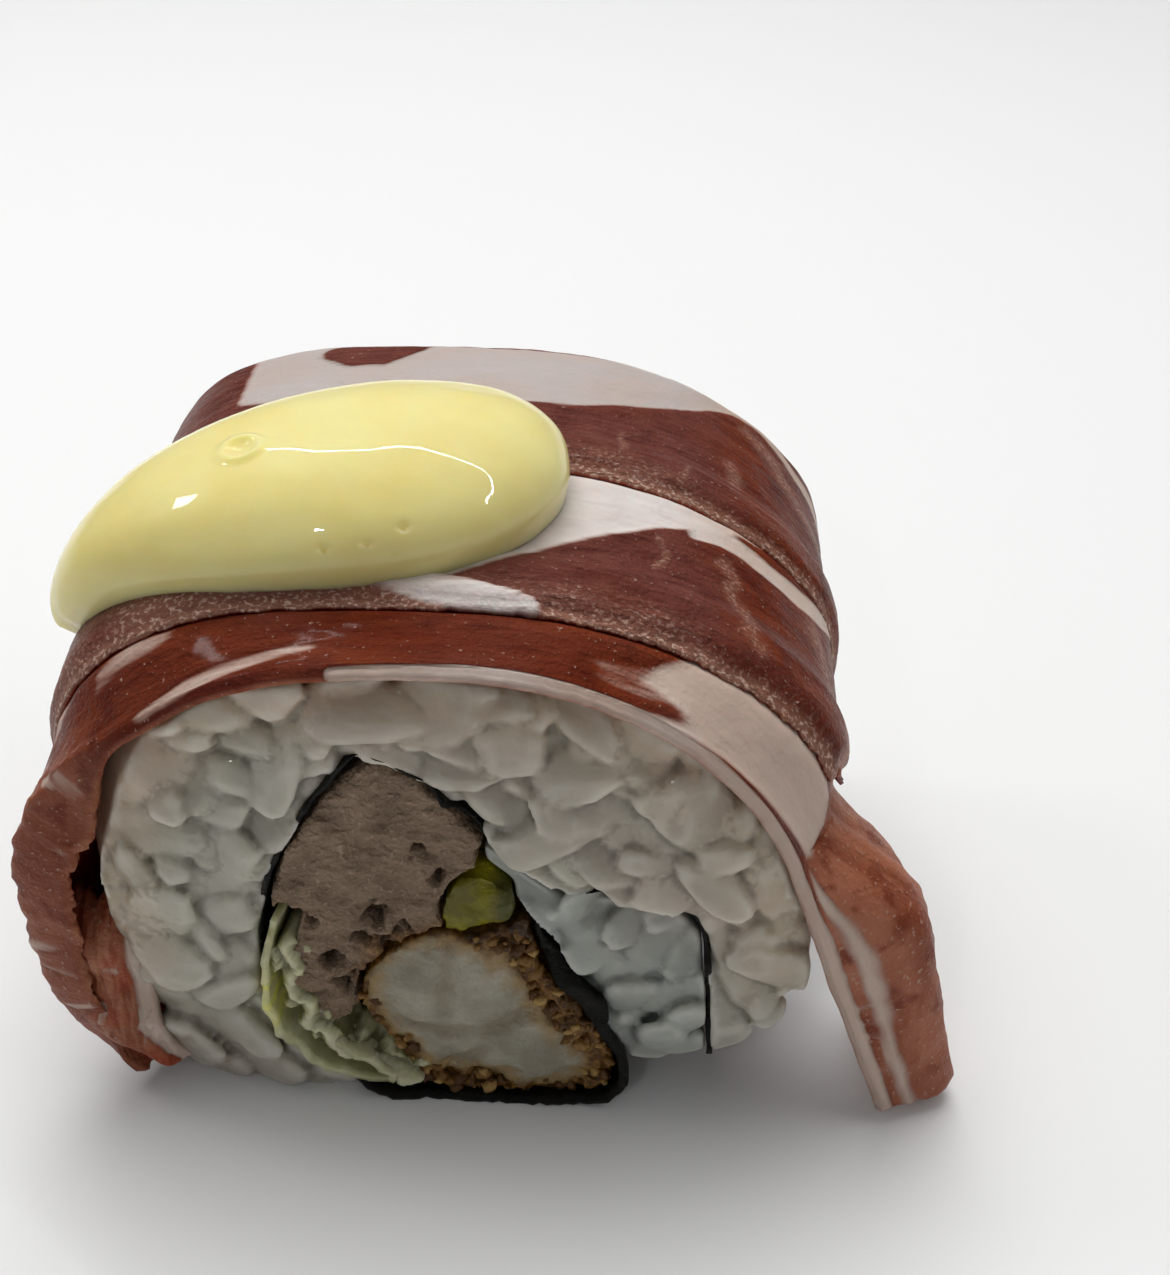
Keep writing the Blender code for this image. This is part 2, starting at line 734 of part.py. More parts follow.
def make_mayonnaise():
    """One spoonful, long and domed, with a full rim that meets the ham."""
    rings = MAYO_RINGS
    turns = MAYO_TURNS
    middle = 0.5 * (MAYO_LEFT + MAYO_RIGHT)
    half = 0.5 * (MAYO_RIGHT - MAYO_LEFT)
    under, over = [], []
    for ring in range(rings + 1):
        share = math.sin(0.5 * math.pi * ring / rings)
        for turn in range(turns if ring else 1):
            angle = 2.0 * math.pi * turn / turns
            across = share * math.cos(angle)
            taper = 1.0 + MAYO_TAPER * across
            reach = middle + half * across
            depth = MAYO_MIDDLE_Y + MAYO_TILT * half * across
            depth += MAYO_HALF_WIDTH * taper * share * math.sin(angle)
            place = bed_point(reach, depth)
            out = bed_normal(reach, depth)
            for aside in (-MAYO_EASE, MAYO_EASE):
                out = out + bed_normal(reach + aside, depth)
            out = out.normalized()
            rest = GAP + max(top_lift(depth + step) for step in (-1.2, -0.6, 0.0, 0.6, 1.2))
            swell = MAYO_HEIGHT * taper * (1.0 - share ** 2.6) ** 0.62
            under.append(place + out * rest)
            over.append(place + out * (MAYO_RIM + swell))
    points = under + over
    other = len(under)
    faces = []
    for turn in range(turns):
        after = (turn + 1) % turns
        sides = [(0, 1 + after, 1 + turn)]
        for ring in range(rings - 1):
            a = 1 + ring * turns + turn
            b = 1 + ring * turns + after
            sides += [(a, b, b + turns), (a, b + turns, a + turns)]
        for side in sides:
            faces.append(side)
            faces.append(tuple(other + index for index in reversed(side)))
        a = 1 + (rings - 1) * turns + turn
        b = 1 + (rings - 1) * turns + after
        faces += [(a, b, other + b), (a, other + b, other + a)]
    return make_object("mayonnaise", points, faces, MAYO_COLOUR, 0.12)


def side_grains(zone, draw):
    """Grains on the skin of the rice where the ham stands off it or has ended."""
    grains = []
    for degrees in range(-84, 208, SIDE_GRAIN_STEP):
        if 14 < degrees < 156:
            continue
        depth = -HALF_LENGTH + 3.6
        while depth < HALF_LENGTH - 3.0:
            angle = math.radians(degrees + draw.uniform(-2.0, 2.0))
            length = GRAIN_LENGTH * draw.uniform(0.85, 1.05)
            width = GRAIN_WIDTH * draw.uniform(0.9, 1.05)
            skin = arch_point(angle, depth, -SIDE_GRAIN_SINK)
            heading = math.radians(draw.uniform(-40.0, 40.0))
            turned = (Matrix.Translation(Vector((skin.x, depth, skin.y)))
                      @ Matrix.Rotation(-angle, 4, "Y")
                      @ Matrix.Rotation(heading, 4, "X")
                      @ Matrix.Rotation(math.radians(90.0), 4, "Z"))
            points = [turned @ point for point in grain_points(length, width)]
            if all(stands_clear(point, zone) for point in points):
                grains.append(points)
            depth += SIDE_GRAIN_DEPTH_STEP
    return grains


def stands_clear(point, zone):
    """True where a grain's point is clear of the ham, the nori and the ground."""
    if point.z < 0.05 or abs(point.y) > HALF_LENGTH - 0.6:
        return False
    if is_inside(Vector((point.x, point.z)), zone):
        return False
    for reach, place in ham_bed(point.y):
        covered = any(
            FRONT_EDGES[name] - 1.0 < point.y < REAR_EDGES[name] + 1.0
            and place.y > (LEFT_HEMS[name] if reach < 0.0 else RIGHT_HEMS[name]) - 1.0
            for name in FRONT_EDGES)
        if covered and (Vector((point.x, point.z)) - place).length < SIDE_GRAIN_CLEARANCE:
            return False
    return True


def crust_relief(x, z, seed):
    """Crags of fried crumb round the meat, and a smoother middle."""
    crag = smooth(((Vector((x, z)) - MEAT_CENTRE).length - MEAT_RADIUS) / 2.5)
    return (MEAT_RELIEF + CRUST_RELIEF * crag) * ruffle(x, z, 1.5, seed)


def make_lettuce(line):
    """A folded leaf, thin and wavy, running from cut to cut."""
    rows = len(line) - 1
    columns = LETTUCE_COLUMNS
    half = HALF_LENGTH - LETTUCE_RECESS
    right = side_step(line, 0.5 * LETTUCE_THICKNESS)
    left = side_step(line, -0.5 * LETTUCE_THICKNESS)
    skins = ([], [])
    for i in range(rows + 1):
        for j in range(columns + 1):
            share = j / columns
            depth = (2.0 * share - 1.0) * half
            depth += 0.3 * math.sin(1.9 * i) * (1.0 - 2.0 * share)
            wave = 0.10 * math.sin(0.9 * depth + 0.5 * i)
            aside = (left[i] - right[i]).normalized() * wave
            skins[0].append((left[i].x + aside.x, depth, left[i].y + aside.y))
            skins[1].append((right[i].x + aside.x, depth, right[i].y + aside.y))
    return close_skins("lettuce", skins, rows, columns, LETTUCE_COLOUR, 0.4)


def make_outer_rice(filled, draw):
    """The rice round the nori, with its grains on both cuts and on its bare sides."""
    zone = resample(trim(rice_outline(), [filled]), RICE_SPACING, closed=True)
    face = HALF_LENGTH - RICE_FACE_RECESS
    rice = loaf(
        "rice", zone, NO_INNER_POINTS, lambda x, z: -face, lambda x, z: face,
        RICE_COLOUR, RICE_ROUGHNESS, stations=RICE_RINGS, shift=rice_shift)
    swelled = [rice_shift(p.x, HALF_LENGTH, p.y) for p in zone]
    swelled = [Vector((x, z)) for x, y, z in swelled]
    grains = face_grains(zone, -1, 2.7, draw) + face_grains(swelled, 1, 2.9, draw)
    fuse_grains(rice, grains + side_grains(filled, draw))


def make_inner_rice(zone, draw):
    """The rice inside the nori's last turn."""
    face = HALF_LENGTH - RICE_FACE_RECESS
    rice = loaf(
        "rice_inner", zone, NO_INNER_POINTS, lambda x, z: -face, lambda x, z: face,
        RICE_INNER_COLOUR, RICE_ROUGHNESS)
    fuse_grains(rice, face_grains(zone, -1, 2.3, draw) + face_grains(zone, 1, 2.5, draw))


def filling_zone(outline, rooms, spacing):
    """A filling's outline on the cut, less the room of its neighbours."""
    return resample(trim(spline(outline, 5, closed=True), rooms), spacing, closed=True)


def clear_scene():
    for piece in list(bpy.data.objects):
        bpy.data.objects.remove(piece)


def build():
    clear_scene()
    draw = random.Random(GRAIN_SEED)
    route = [Vector((p.x, max(0.5 * NORI_THICKNESS, p.y))) for p in spline(NORI_ROUTE, 6)]
    make_nori(route)
    nori_room = ribbon(resample(route, 0.8), 0.5 * NORI_THICKNESS + GAP, GAP)

    turn = spline(NORI_ROUTE[:NORI_OUTER_POINTS + 1], 6)
    below = Vector((0.0, -4.0))
    outer_end = Vector(NORI_ROUTE[0]) + Vector((0.2, 0.0))
    filled = [Vector((8.0, below.y)), Vector((outer_end.x, below.y)), outer_end] + turn[1:]
    filled = side_step(anticlockwise(filled), 0.5 * NORI_THICKNESS + GAP, closed=True)
    make_outer_rice(filled, draw)

    leaf_line = resample(spline(LETTUCE_ROUTE, 6), 1.5)
    make_lettuce(leaf_line)
    leaf_room = ribbon(leaf_line, 0.5 * LETTUCE_THICKNESS + LEAF_GAP, LEAF_GAP)

    prawn_zone = filling_zone(PRAWN_OUTLINE, [nori_room, leaf_room], 1.1)
    prawn_room = side_step(prawn_zone, FILLING_GAP, closed=True)
    avocado_zone = filling_zone(AVOCADO_OUTLINE, [nori_room, prawn_room], 0.9)
    avocado_room = side_step(avocado_zone, FILLING_GAP, closed=True)
    rooms = [nori_room, prawn_room, avocado_room]
    inner_zone = filling_zone(RICE_INNER_OUTLINE, rooms, 1.3)
    make_inner_rice(inner_zone, draw)
    rooms += [leaf_room, side_step(inner_zone, FILLING_GAP, closed=True)]
    pate_zone = filling_zone(PATE_OUTLINE, rooms, 1.3)

    face = HALF_LENGTH - FILLING_RECESS
    loaf(
        "breaded_prawn", prawn_zone, 1.25,
        lambda x, z: -face + crust_relief(x, z, 11.0),
        lambda x, z: face - crust_relief(x, z, 12.0), PRAWN_COLOUR, 0.5)
    loaf(
        "avocado", avocado_zone, 1.6,
        lambda x, z: -face + AVOCADO_RELIEF * ruffle(x, z, 2.0, 5.0),
        lambda x, z: face + AVOCADO_RELIEF * ruffle(x, z, 2.0, 6.0), AVOCADO_COLOUR, 0.3)
    loaf(
        "pate", pate_zone, 1.5,
        lambda x, z: -face + FILLING_RELIEF * ruffle(x, z, 2.2, 7.0),
        lambda x, z: face + FILLING_RELIEF * ruffle(x, z, 2.2, 8.0), PATE_COLOUR, 0.6)
    for name in HAM_NAMES:
        make_ham(name)
    make_mayonnaise()


build()
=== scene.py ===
import math

import bmesh
import bpy
import numpy as np
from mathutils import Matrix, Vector, noise
from mathutils.kdtree import KDTree


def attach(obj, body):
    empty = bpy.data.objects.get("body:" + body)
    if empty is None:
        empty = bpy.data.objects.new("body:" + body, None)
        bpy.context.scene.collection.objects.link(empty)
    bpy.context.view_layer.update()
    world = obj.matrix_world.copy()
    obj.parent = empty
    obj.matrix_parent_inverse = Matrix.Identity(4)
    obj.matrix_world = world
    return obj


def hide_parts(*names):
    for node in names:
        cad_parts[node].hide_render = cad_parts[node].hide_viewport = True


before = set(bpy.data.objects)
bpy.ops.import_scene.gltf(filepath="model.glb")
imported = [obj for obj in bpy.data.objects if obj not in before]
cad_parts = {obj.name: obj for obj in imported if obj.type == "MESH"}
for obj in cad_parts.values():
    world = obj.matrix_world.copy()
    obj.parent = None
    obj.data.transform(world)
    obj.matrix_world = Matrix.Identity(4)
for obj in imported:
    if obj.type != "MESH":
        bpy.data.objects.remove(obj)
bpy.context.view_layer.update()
MM = 0.001


# The nori: one sheet of dried, pressed seaweed, rolled from its outer end at the lower
# right over the fillings, down the left, along the underside and up inside the rice.
# It is cut with the roll, so its edge shows as a thin dark line with small nicks.
NORI_THICKNESS = 0.4
NORI_PROUD = 0.3
NORI_CRINKLE = 0.14
NORI_NICKS = 0.30
NORI_FLARES = (1.5, 0.3)
NORI_SUNK = 1.3
NORI_ROUTE = [
    (13.7, 4.3), (13.4, 10.5), (12.7, 16.6), (10.0, 19.0), (4.4, 19.0), (0.6, 22.3),
    (-2.8, 27.3), (-6.0, 29.9), (-8.6, 29.2), (-13.0, 22.0), (-15.0, 15.0),
    (-15.4, 8.0), (-13.8, 3.6), (-8.0, 0.25), (-3.0, 0.25), (3.0, 0.25),
    (7.0, 1.0), (7.8, 4.2), (5.4, 9.6), (3.2, 12.6), (2.4, 16.4),
]
# Where along the route the front edge is sunk behind the rice: from, to and how far.
NORI_HIDDEN = ((-1.0, 1.9, 0.9), (1.6, 6.2, 1.0), (5.9, 9.9, 0.3), (9.5, 13.9, 1.0), (19.0, 22.0, 1.0))
CUT_FRONT = -17.3
CUT_REAR = 17.3


def curve_through(points, steps):
    """A smooth curve through points, with so many steps to each span."""
    curve = []
    last = len(points) - 1
    for span in range(last):
        before = Vector(points[max(span - 1, 0)])
        start = Vector(points[span])
        end = Vector(points[span + 1])
        after = Vector(points[min(span + 2, last)])
        bend = 2.0 * before - 5.0 * start + 4.0 * end - after
        turn = -before + 3.0 * start - 3.0 * end + after
        for step in range(steps):
            t = step / steps
            curve.append(start + 0.5 * t * ((end - before) + t * (bend + t * turn)))
    curve.append(Vector(points[-1]))
    return np.array([tuple(point) for point in curve])


def evenly(line, spacing):
    """The same line with evenly spaced points."""
    lengths = np.linalg.norm(np.diff(line, axis=0), axis=1)
    walked = np.concatenate([[0.0], np.cumsum(lengths)])
    stations = np.linspace(0.0, walked[-1], max(4, round(walked[-1] / spacing)))
    return np.stack([np.interp(stations, walked, line[:, k]) for k in range(line.shape[1])], axis=1)


def sideways(line):
    """The direction to the right of a line in the plane of the cut, at each point."""
    along = np.gradient(line, axis=0)
    along /= np.linalg.norm(along, axis=1, keepdims=True)
    return np.stack([along[:, 1], -along[:, 0]], axis=1)


def rough(points, scale, seed, octaves=1):
    """A repeatable uneven value, about -1 to 1, at each point of an array."""
    flat = points.reshape(-1, 3) / scale
    values = np.zeros(len(flat))
    strength = 1.0
    for octave in range(octaves):
        step = 2.0 ** octave
        values += strength * np.array([
            noise.noise(Vector((p[0] * step, p[1] * step + seed, p[2] * step))) for p in flat])
        strength *= 0.5
    return values.reshape(points.shape[:-1])


def eased(value):
    """0 below 0, 1 above 1, and an eased step between."""
    t = np.clip(value, 0.0, 1.0)
    return t * t * (3.0 - 2.0 * t)


def stand(name, data):
    """A new object in the scene, made of a mesh, a lamp or a camera."""
    thing = bpy.data.objects.new(name, data)
    bpy.context.scene.collection.objects.link(thing)
    return thing


def make_piece(name, points, faces, marks=None):
    """A closed mesh in millimetres as a piece, faces outwards, with its marks per point."""
    mesh = bpy.data.meshes.new(name)
    mesh.from_pydata([tuple(p) for p in np.asarray(points) * MM], [], [tuple(f) for f in faces])
    shape = bmesh.new()
    shape.from_mesh(mesh)
    if shape.calc_volume(signed=True) < 0.0:
        bmesh.ops.reverse_faces(shape, faces=shape.faces)
    shape.to_mesh(mesh)
    shape.free()
    mesh.shade_smooth()
    for mark, values in (marks or {}).items():
        layer = mesh.attributes.new(mark, "FLOAT", "POINT")
        layer.data.foreach_set("value", np.asarray(values, dtype=np.float32).ravel())
    return stand(name, mesh)


def close_sheet(name, outer, inner, marks=None):
    """A thin closed piece between two skins, each a grid of rows by columns of points."""
    rows, columns = outer.shape[:2]
    index = np.arange(rows * columns).reshape(rows, columns)
    a, b = index[:-1, :-1], index[1:, :-1]
    c, d = index[1:, 1:], index[:-1, 1:]
    quads = np.stack([a, b, c, d], axis=-1).reshape(-1, 4)
    other = rows * columns
    rim = np.concatenate([index[0, :-1], index[:-1, -1], index[-1, :0:-1], index[:0:-1, 0]])
    after = np.roll(rim, -1)
    edge = np.stack([rim, after, after + other, rim + other], axis=1)
    faces = np.concatenate([quads, quads[:, ::-1] + other, edge])
    both = {key: np.concatenate([value[0].ravel(), value[1].ravel()])
            for key, value in (marks or {}).items()}
    return make_piece(name, np.concatenate([outer.reshape(-1, 3), inner.reshape(-1, 3)]), faces, both)


def shade(red, green, blue):
    """A colour as a maker matches it, 0 to 255, turned into the shader's own scale."""
    parts = []
    for value in (red, green, blue):
        share = value / 255.0
        parts.append(share / 12.92 if share <= 0.04045 else ((share + 0.055) / 1.055) ** 2.4)
    return (*parts, 1.0)


def start_finish(name, colour, roughness, **settings):
    """A new material: its node tree and its shader, with the shader's own values set."""
    material = bpy.data.materials.new(name)
    material.use_nodes = True
    tree = material.node_tree
    shader = tree.nodes["Principled BSDF"]
    shader.inputs["Base Color"].default_value = colour
    shader.inputs["Roughness"].default_value = roughness
    for key, value in settings.items():
        shader.inputs[key.replace("_", " ")].default_value = value
    return material, tree, shader


def put(tree, kind, sockets=None, **settings):
    """One node, with its settings, and each socket given a value or another node's output."""
    node = tree.nodes.new(kind)
    for key, value in settings.items():
        setattr(node, key, value)
    for key, value in (sockets or {}).items():
        if isinstance(value, bpy.types.NodeSocket):
            tree.links.new(value, node.inputs[key])
        else:
            node.inputs[key].default_value = value
    return node


def blend_colours(tree, share, first, second, how="MIX"):
    """Two colours mixed by a share, which is a number or an output."""
    node = tree.nodes.new("ShaderNodeMix")
    node.data_type = "RGBA"
    node.blend_type = how
    for socket, value in ((node.inputs[0], share), (node.inputs[6], first), (node.inputs[7], second)):
        if isinstance(value, bpy.types.NodeSocket):
            tree.links.new(value, socket)
        else:
            socket.default_value = value
    return node.outputs[2]


def sum_of(tree, first, second, how="ADD"):
    """One number made from two, each a value or an output."""
    return put(tree, "ShaderNodeMath", {0: first, 1: second}, operation=how).outputs[0]


def between(tree, value, low, high):
    """A value stretched so that low becomes 0 and high becomes 1, and held there."""
    node = put(tree, "ShaderNodeMapRange", {0: value, 1: low, 2: high}, interpolation_type="SMOOTHSTEP")
    return node.outputs[0]


def ramp(tree, value, low, high, first, second):
    """Two colours, from the first to the second as a value goes from low to high."""
    return blend_colours(tree, between(tree, value, low, high), first, second)


def mottle_group():
    """Uneven patches over any food: a value round 0.5 and a finer one, by place on the piece."""
    group = bpy.data.node_groups.new("mottle", "ShaderNodeTree")
    for label, value in (("Patch", 300.0), ("Grain", 1500.0), ("Stretch", 1.0)):
        socket = group.interface.new_socket(label, in_out="INPUT", socket_type="NodeSocketFloat")
        socket.default_value = value
    for label in ("Patches", "Grains"):
        group.interface.new_socket(label, in_out="OUTPUT", socket_type="NodeSocketFloat")
    given = group.nodes.new("NodeGroupInput")
    result = group.nodes.new("NodeGroupOutput")
    place = put(group, "ShaderNodeTexCoord").outputs["Object"]
    stretch = put(group, "ShaderNodeCombineXYZ", {0: 1.0, 1: given.outputs["Stretch"], 2: 1.0})
    place = put(group, "ShaderNodeVectorMath", {0: place, 1: stretch.outputs[0]}, operation="MULTIPLY")
    for label, scale in (("Patches", "Patch"), ("Grains", "Grain")):
        spots = put(group, "ShaderNodeTexNoise",
                    {"Vector": place.outputs[0], "Scale": given.outputs[scale], "Detail": 3.0})
        group.links.new(spots.outputs["Fac"], result.inputs[label])
    return group


MOTTLE = mottle_group()


def mottled(tree, patch, grain, stretch=1.0):
    """The patches and the grains of the mottle group, at these scales per metre."""
    node = put(tree, "ShaderNodeGroup", node_tree=MOTTLE)
    for key, value in (("Patch", patch), ("Grain", grain), ("Stretch", stretch)):
        node.inputs[key].default_value = value
    return node.outputs["Patches"], node.outputs["Grains"]


def cover(tree, shader, colour, height, distance):
    """The shader's colour, and fine relief by a bump of so many metres."""
    bump = put(tree, "ShaderNodeBump", {"Height": height, "Distance": distance, "Strength": 1.0})
    tree.links.new(colour, shader.inputs["Base Color"])
    tree.links.new(bump.outputs["Normal"], shader.inputs["Normal"])


def mark_of(tree, name):
    """A mark that the piece carries at each of its points."""
    return put(tree, "ShaderNodeAttribute", attribute_name=name).outputs["Fac"]


nori_finish, tree, shader = start_finish(
    "nori_sheet", shade(14, 13, 9), 0.5, Specular_IOR_Level=0.16)
patches, grains = mottled(tree, 500.0, 3500.0)
green = ramp(tree, patches, 0.35, 0.7, shade(6, 6, 4), shade(20, 18, 11))
tree.links.new(sum_of(tree, sum_of(tree, patches, 0.35, "MULTIPLY"), 0.28), shader.inputs["Roughness"])
cover(tree, shader, green, sum_of(tree, patches, grains), 0.00012)

nori_line = evenly(curve_through(NORI_ROUTE, 6), 0.45)
nori_line[:, 1] = np.maximum(nori_line[:, 1], 0.5 * NORI_THICKNESS)
nori_side = sideways(nori_line)
nori_depths = np.linspace(CUT_FRONT - NORI_PROUD, CUT_REAR + NORI_PROUD, 60)
nori_walk = np.linspace(0.0, len(NORI_ROUTE) - 1.0, len(nori_line))
nori_hidden = np.zeros_like(nori_walk)
for hidden_from, hidden_to, deep in NORI_HIDDEN:
    shut = eased((nori_walk - hidden_from) / 0.5) * eased((hidden_to - nori_walk) / 0.5)
    nori_hidden = np.maximum(nori_hidden, deep * shut)
nori_flared = eased((nori_walk - 18.0) / 0.6) * eased((19.8 - nori_walk) / 0.5)
nori_flared = np.maximum(nori_flared, 0.22 * eased((nori_walk - 16.6) / 0.5) * (nori_walk < 19.0))
skins = []
for step in (0.5, -0.5):
    flat = nori_line + step * NORI_THICKNESS * nori_side
    skin = np.zeros((len(flat), len(nori_depths), 3))
    skin[:, :, 0] = flat[:, :1]
    skin[:, :, 2] = flat[:, 1:]
    skin[:, :, 1] = nori_depths
    skins.append(skin)
crinkle = NORI_CRINKLE * rough(skins[0], 2.2, 40.0, 2)
nicks = NORI_NICKS * rough(skins[0][:, :1], 0.9, 50.0, 2)
for skin, flare in zip(skins, NORI_FLARES):
    skin[:, :, 0] += crinkle * nori_side[:, :1]
    skin[:, :, 2] += crinkle * nori_side[:, 1:]
    near_front = 1.0 - eased((skin[:, :, 1] - CUT_FRONT) / 2.5)
    skin[:, :, 1] += (nicks + NORI_SUNK * nori_hidden[:, None]) * near_front
    skin[:, :, 0] += flare * nori_flared[:, None] * near_front
    skin[:, :, 1] -= nicks * eased((skin[:, :, 1] - CUT_REAR + 2.0) / 2.0)
    skin[:, :, 2] = np.maximum(skin[:, :, 2], 0.0)
skins[1][:, :, 2] = np.maximum(skins[1][:, :, 2], skins[0][:, :, 2] + 0.02 * (skins[0][:, :, 2] < 0.01))
nori = close_sheet("nori_sheet", skins[0], skins[1])
nori.data.materials.append(nori_finish)
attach(nori, "root")
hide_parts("nori")


# The rice outside the nori: cooked, seasoned short grains pressed into an arch by hand.
# They stick to each other, clear and glossy where they are wet, and lie round the arch.
# The cut leaves whole and halved grains standing out of its face.
ARCH_X = -2.6
ARCH_Z = 14.4
RICE_LEFT = (20.5, 3.0)
RICE_RIGHT = (21.0, 4.0)
RICE_TOP = (21.2, 2.1)
RICE_FOOT = (15.0, 11.0)
SQUARE_TOP = ((3.0, 1.0), (2.1, 0.2))
SQUARE_FOOT = (5.0, 3.0)
SIDE_SWELL = 7.0
TOP_SWELL = 20.0
GRAIN_LENGTH = 7.0
GRAIN_WIDTH = 4.3
GRAIN_DEPTH = 1.3
GRAIN_LEAN = 0.3
GRAIN_TOPS = 17.75
GRAINS_END = 17.9
GAP_SHADE_FROM, GAP_SHADE_TO = 1.1, 3.0
CUT_ZONE = 15.6


def step_up(value):
    """The same eased step for one plain number."""
    t = min(1.0, max(0.0, value))
    return t * t * (3.0 - 2.0 * t)


def rice_reach(angle, depth):
    """From the arch's centre to the skin of the rice, in one direction at one depth."""
    across, up = math.cos(angle), math.sin(angle)
    degrees = math.degrees(angle) % 360.0
    swell = step_up((depth - CUT_FRONT) / SIDE_SWELL)
    side = 0 if across < 0.0 else 1
    if side == 0:
        half = RICE_LEFT[0] + RICE_LEFT[1] * swell * (1.0 - step_up((degrees - 180.0) / 25.0))
    else:
        half = RICE_RIGHT[0] + RICE_RIGHT[1] * swell * step_up(degrees / 35.0) * (up > 0.0)
    if up >= 0.0:
        height = RICE_TOP[0] + RICE_TOP[1] * step_up((depth - CUT_FRONT) / TOP_SWELL)
        power = SQUARE_TOP[side][0] + SQUARE_TOP[side][1] * swell
    else:
        height = RICE_FOOT[side]
        power = SQUARE_FOOT[side]
    return ((abs(across) / half) ** power + (abs(up) / height) ** power) ** (-1.0 / power)


def worked_in(piece):
    """The same piece, its modifiers worked into its mesh."""
    graph = bpy.context.evaluated_depsgraph_get()
    piece.data = bpy.data.meshes.new_from_object(piece.evaluated_get(graph))
    piece.modifiers.clear()
    piece.data.shade_smooth()
    return piece


def evened(piece, cell, settle=0):
    """The same piece in even small faces, its sharp facets eased."""
    even = piece.modifiers.new("even", "REMESH")
    even.mode = "VOXEL"
    even.voxel_size = cell * MM
    if settle:
        ease = piece.modifiers.new("ease", "SMOOTH")
        ease.factor = 0.5
        ease.iterations = settle
    return worked_in(piece)


def shape_of(node):
    """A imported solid's surface, for changes, with its points joined."""
    shape = bmesh.new()
    shape.from_mesh(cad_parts[node].data)
    bmesh.ops.remove_doubles(shape, verts=shape.verts, dist=1.0e-6)
    return shape


def stand_shape(name, shape):
    """A changed surface as an object in the scene."""
    mesh = bpy.data.meshes.new(name)
    shape.to_mesh(mesh)
    shape.free()
    return stand(name, mesh)


def finer(node, name, cell, settle=0):
    """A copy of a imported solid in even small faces."""
    return evened(stand_shape(name, shape_of(node)), cell, settle)


def points_of(piece):
    """A piece's points in millimetres."""
    flat = np.zeros(3 * len(piece.data.vertices), dtype=np.float32)
    piece.data.vertices.foreach_get("co", flat)
    return flat.reshape(-1, 3).astype(float) / MM


def normals_of(piece):
    """Which way a piece's skin faces at each point."""
    flat = np.zeros(3 * len(piece.data.vertices), dtype=np.float32)
    piece.data.vertex_normals.foreach_get("vector", flat)
    return flat.reshape(-1, 3).astype(float)


def set_points(piece, points):
    """Moves a piece's points, in millimetres."""
    piece.data.vertices.foreach_set("co", (points * MM).astype(np.float32).ravel())
    piece.data.update()


def set_mark(piece, name, values):
    """One value at each of a piece's points, for its material to read."""
    layer = piece.data.attributes.new(name, "FLOAT", "POINT")
    layer.data.foreach_set("value", np.asarray(values, dtype=np.float32).ravel())


def pressed_grain(name, seed, length, width, depth, rings=5, sides=18):
    """A cooked grain pressed flat along X: blunt ends, a thin rim, slightly cupped."""
    shares = [math.sin(0.5 * math.pi * ring / rings) for ring in range(1, rings + 1)]
    layers = [(share, 1.0) for share in shares] + [(share, -1.0) for share in shares[-2::-1]]
    points = [(0.0, 0.0, 0.5 * depth)]
    for share, face in layers:
        thick = face * 0.5 * depth * (1.0 - share ** 4.5) ** 0.55
        for side in range(sides):
            turn = 2.0 * math.pi * side / sides
            x, y = math.cos(turn), math.sin(turn)
            out = share * (1.0 + 0.18 * noise.noise(Vector((x * 1.4, y * 1.4, seed)))
                           + 0.07 * noise.noise(Vector((x * 4.0, y * 4.0, seed + 9.0))))
            blunt = (abs(x) ** 2.6 + abs(y) ** 2.6) ** (-1.0 / 2.6)
            wide = 0.5 * width * (1.0 + 0.14 * x)
            points.append((0.5 * length * x * blunt * out, wide * y * blunt * out,
                           thick - 0.10 * depth * share * share))
    points.append((0.0, 0.0, -0.5 * depth))
    faces = []
    last = len(points) - 1
    for side in range(sides):
        after = (side + 1) % sides
        faces.append((0, 1 + side, 1 + after))
        for layer in range(len(layers) - 1):
            a, b = 1 + layer * sides + side, 1 + layer * sides + after
            faces.append((a, a + sides, b + sides, b))
        faces.append((last - sides + after, last - sides + side, last))
    return make_piece(name, points, faces)


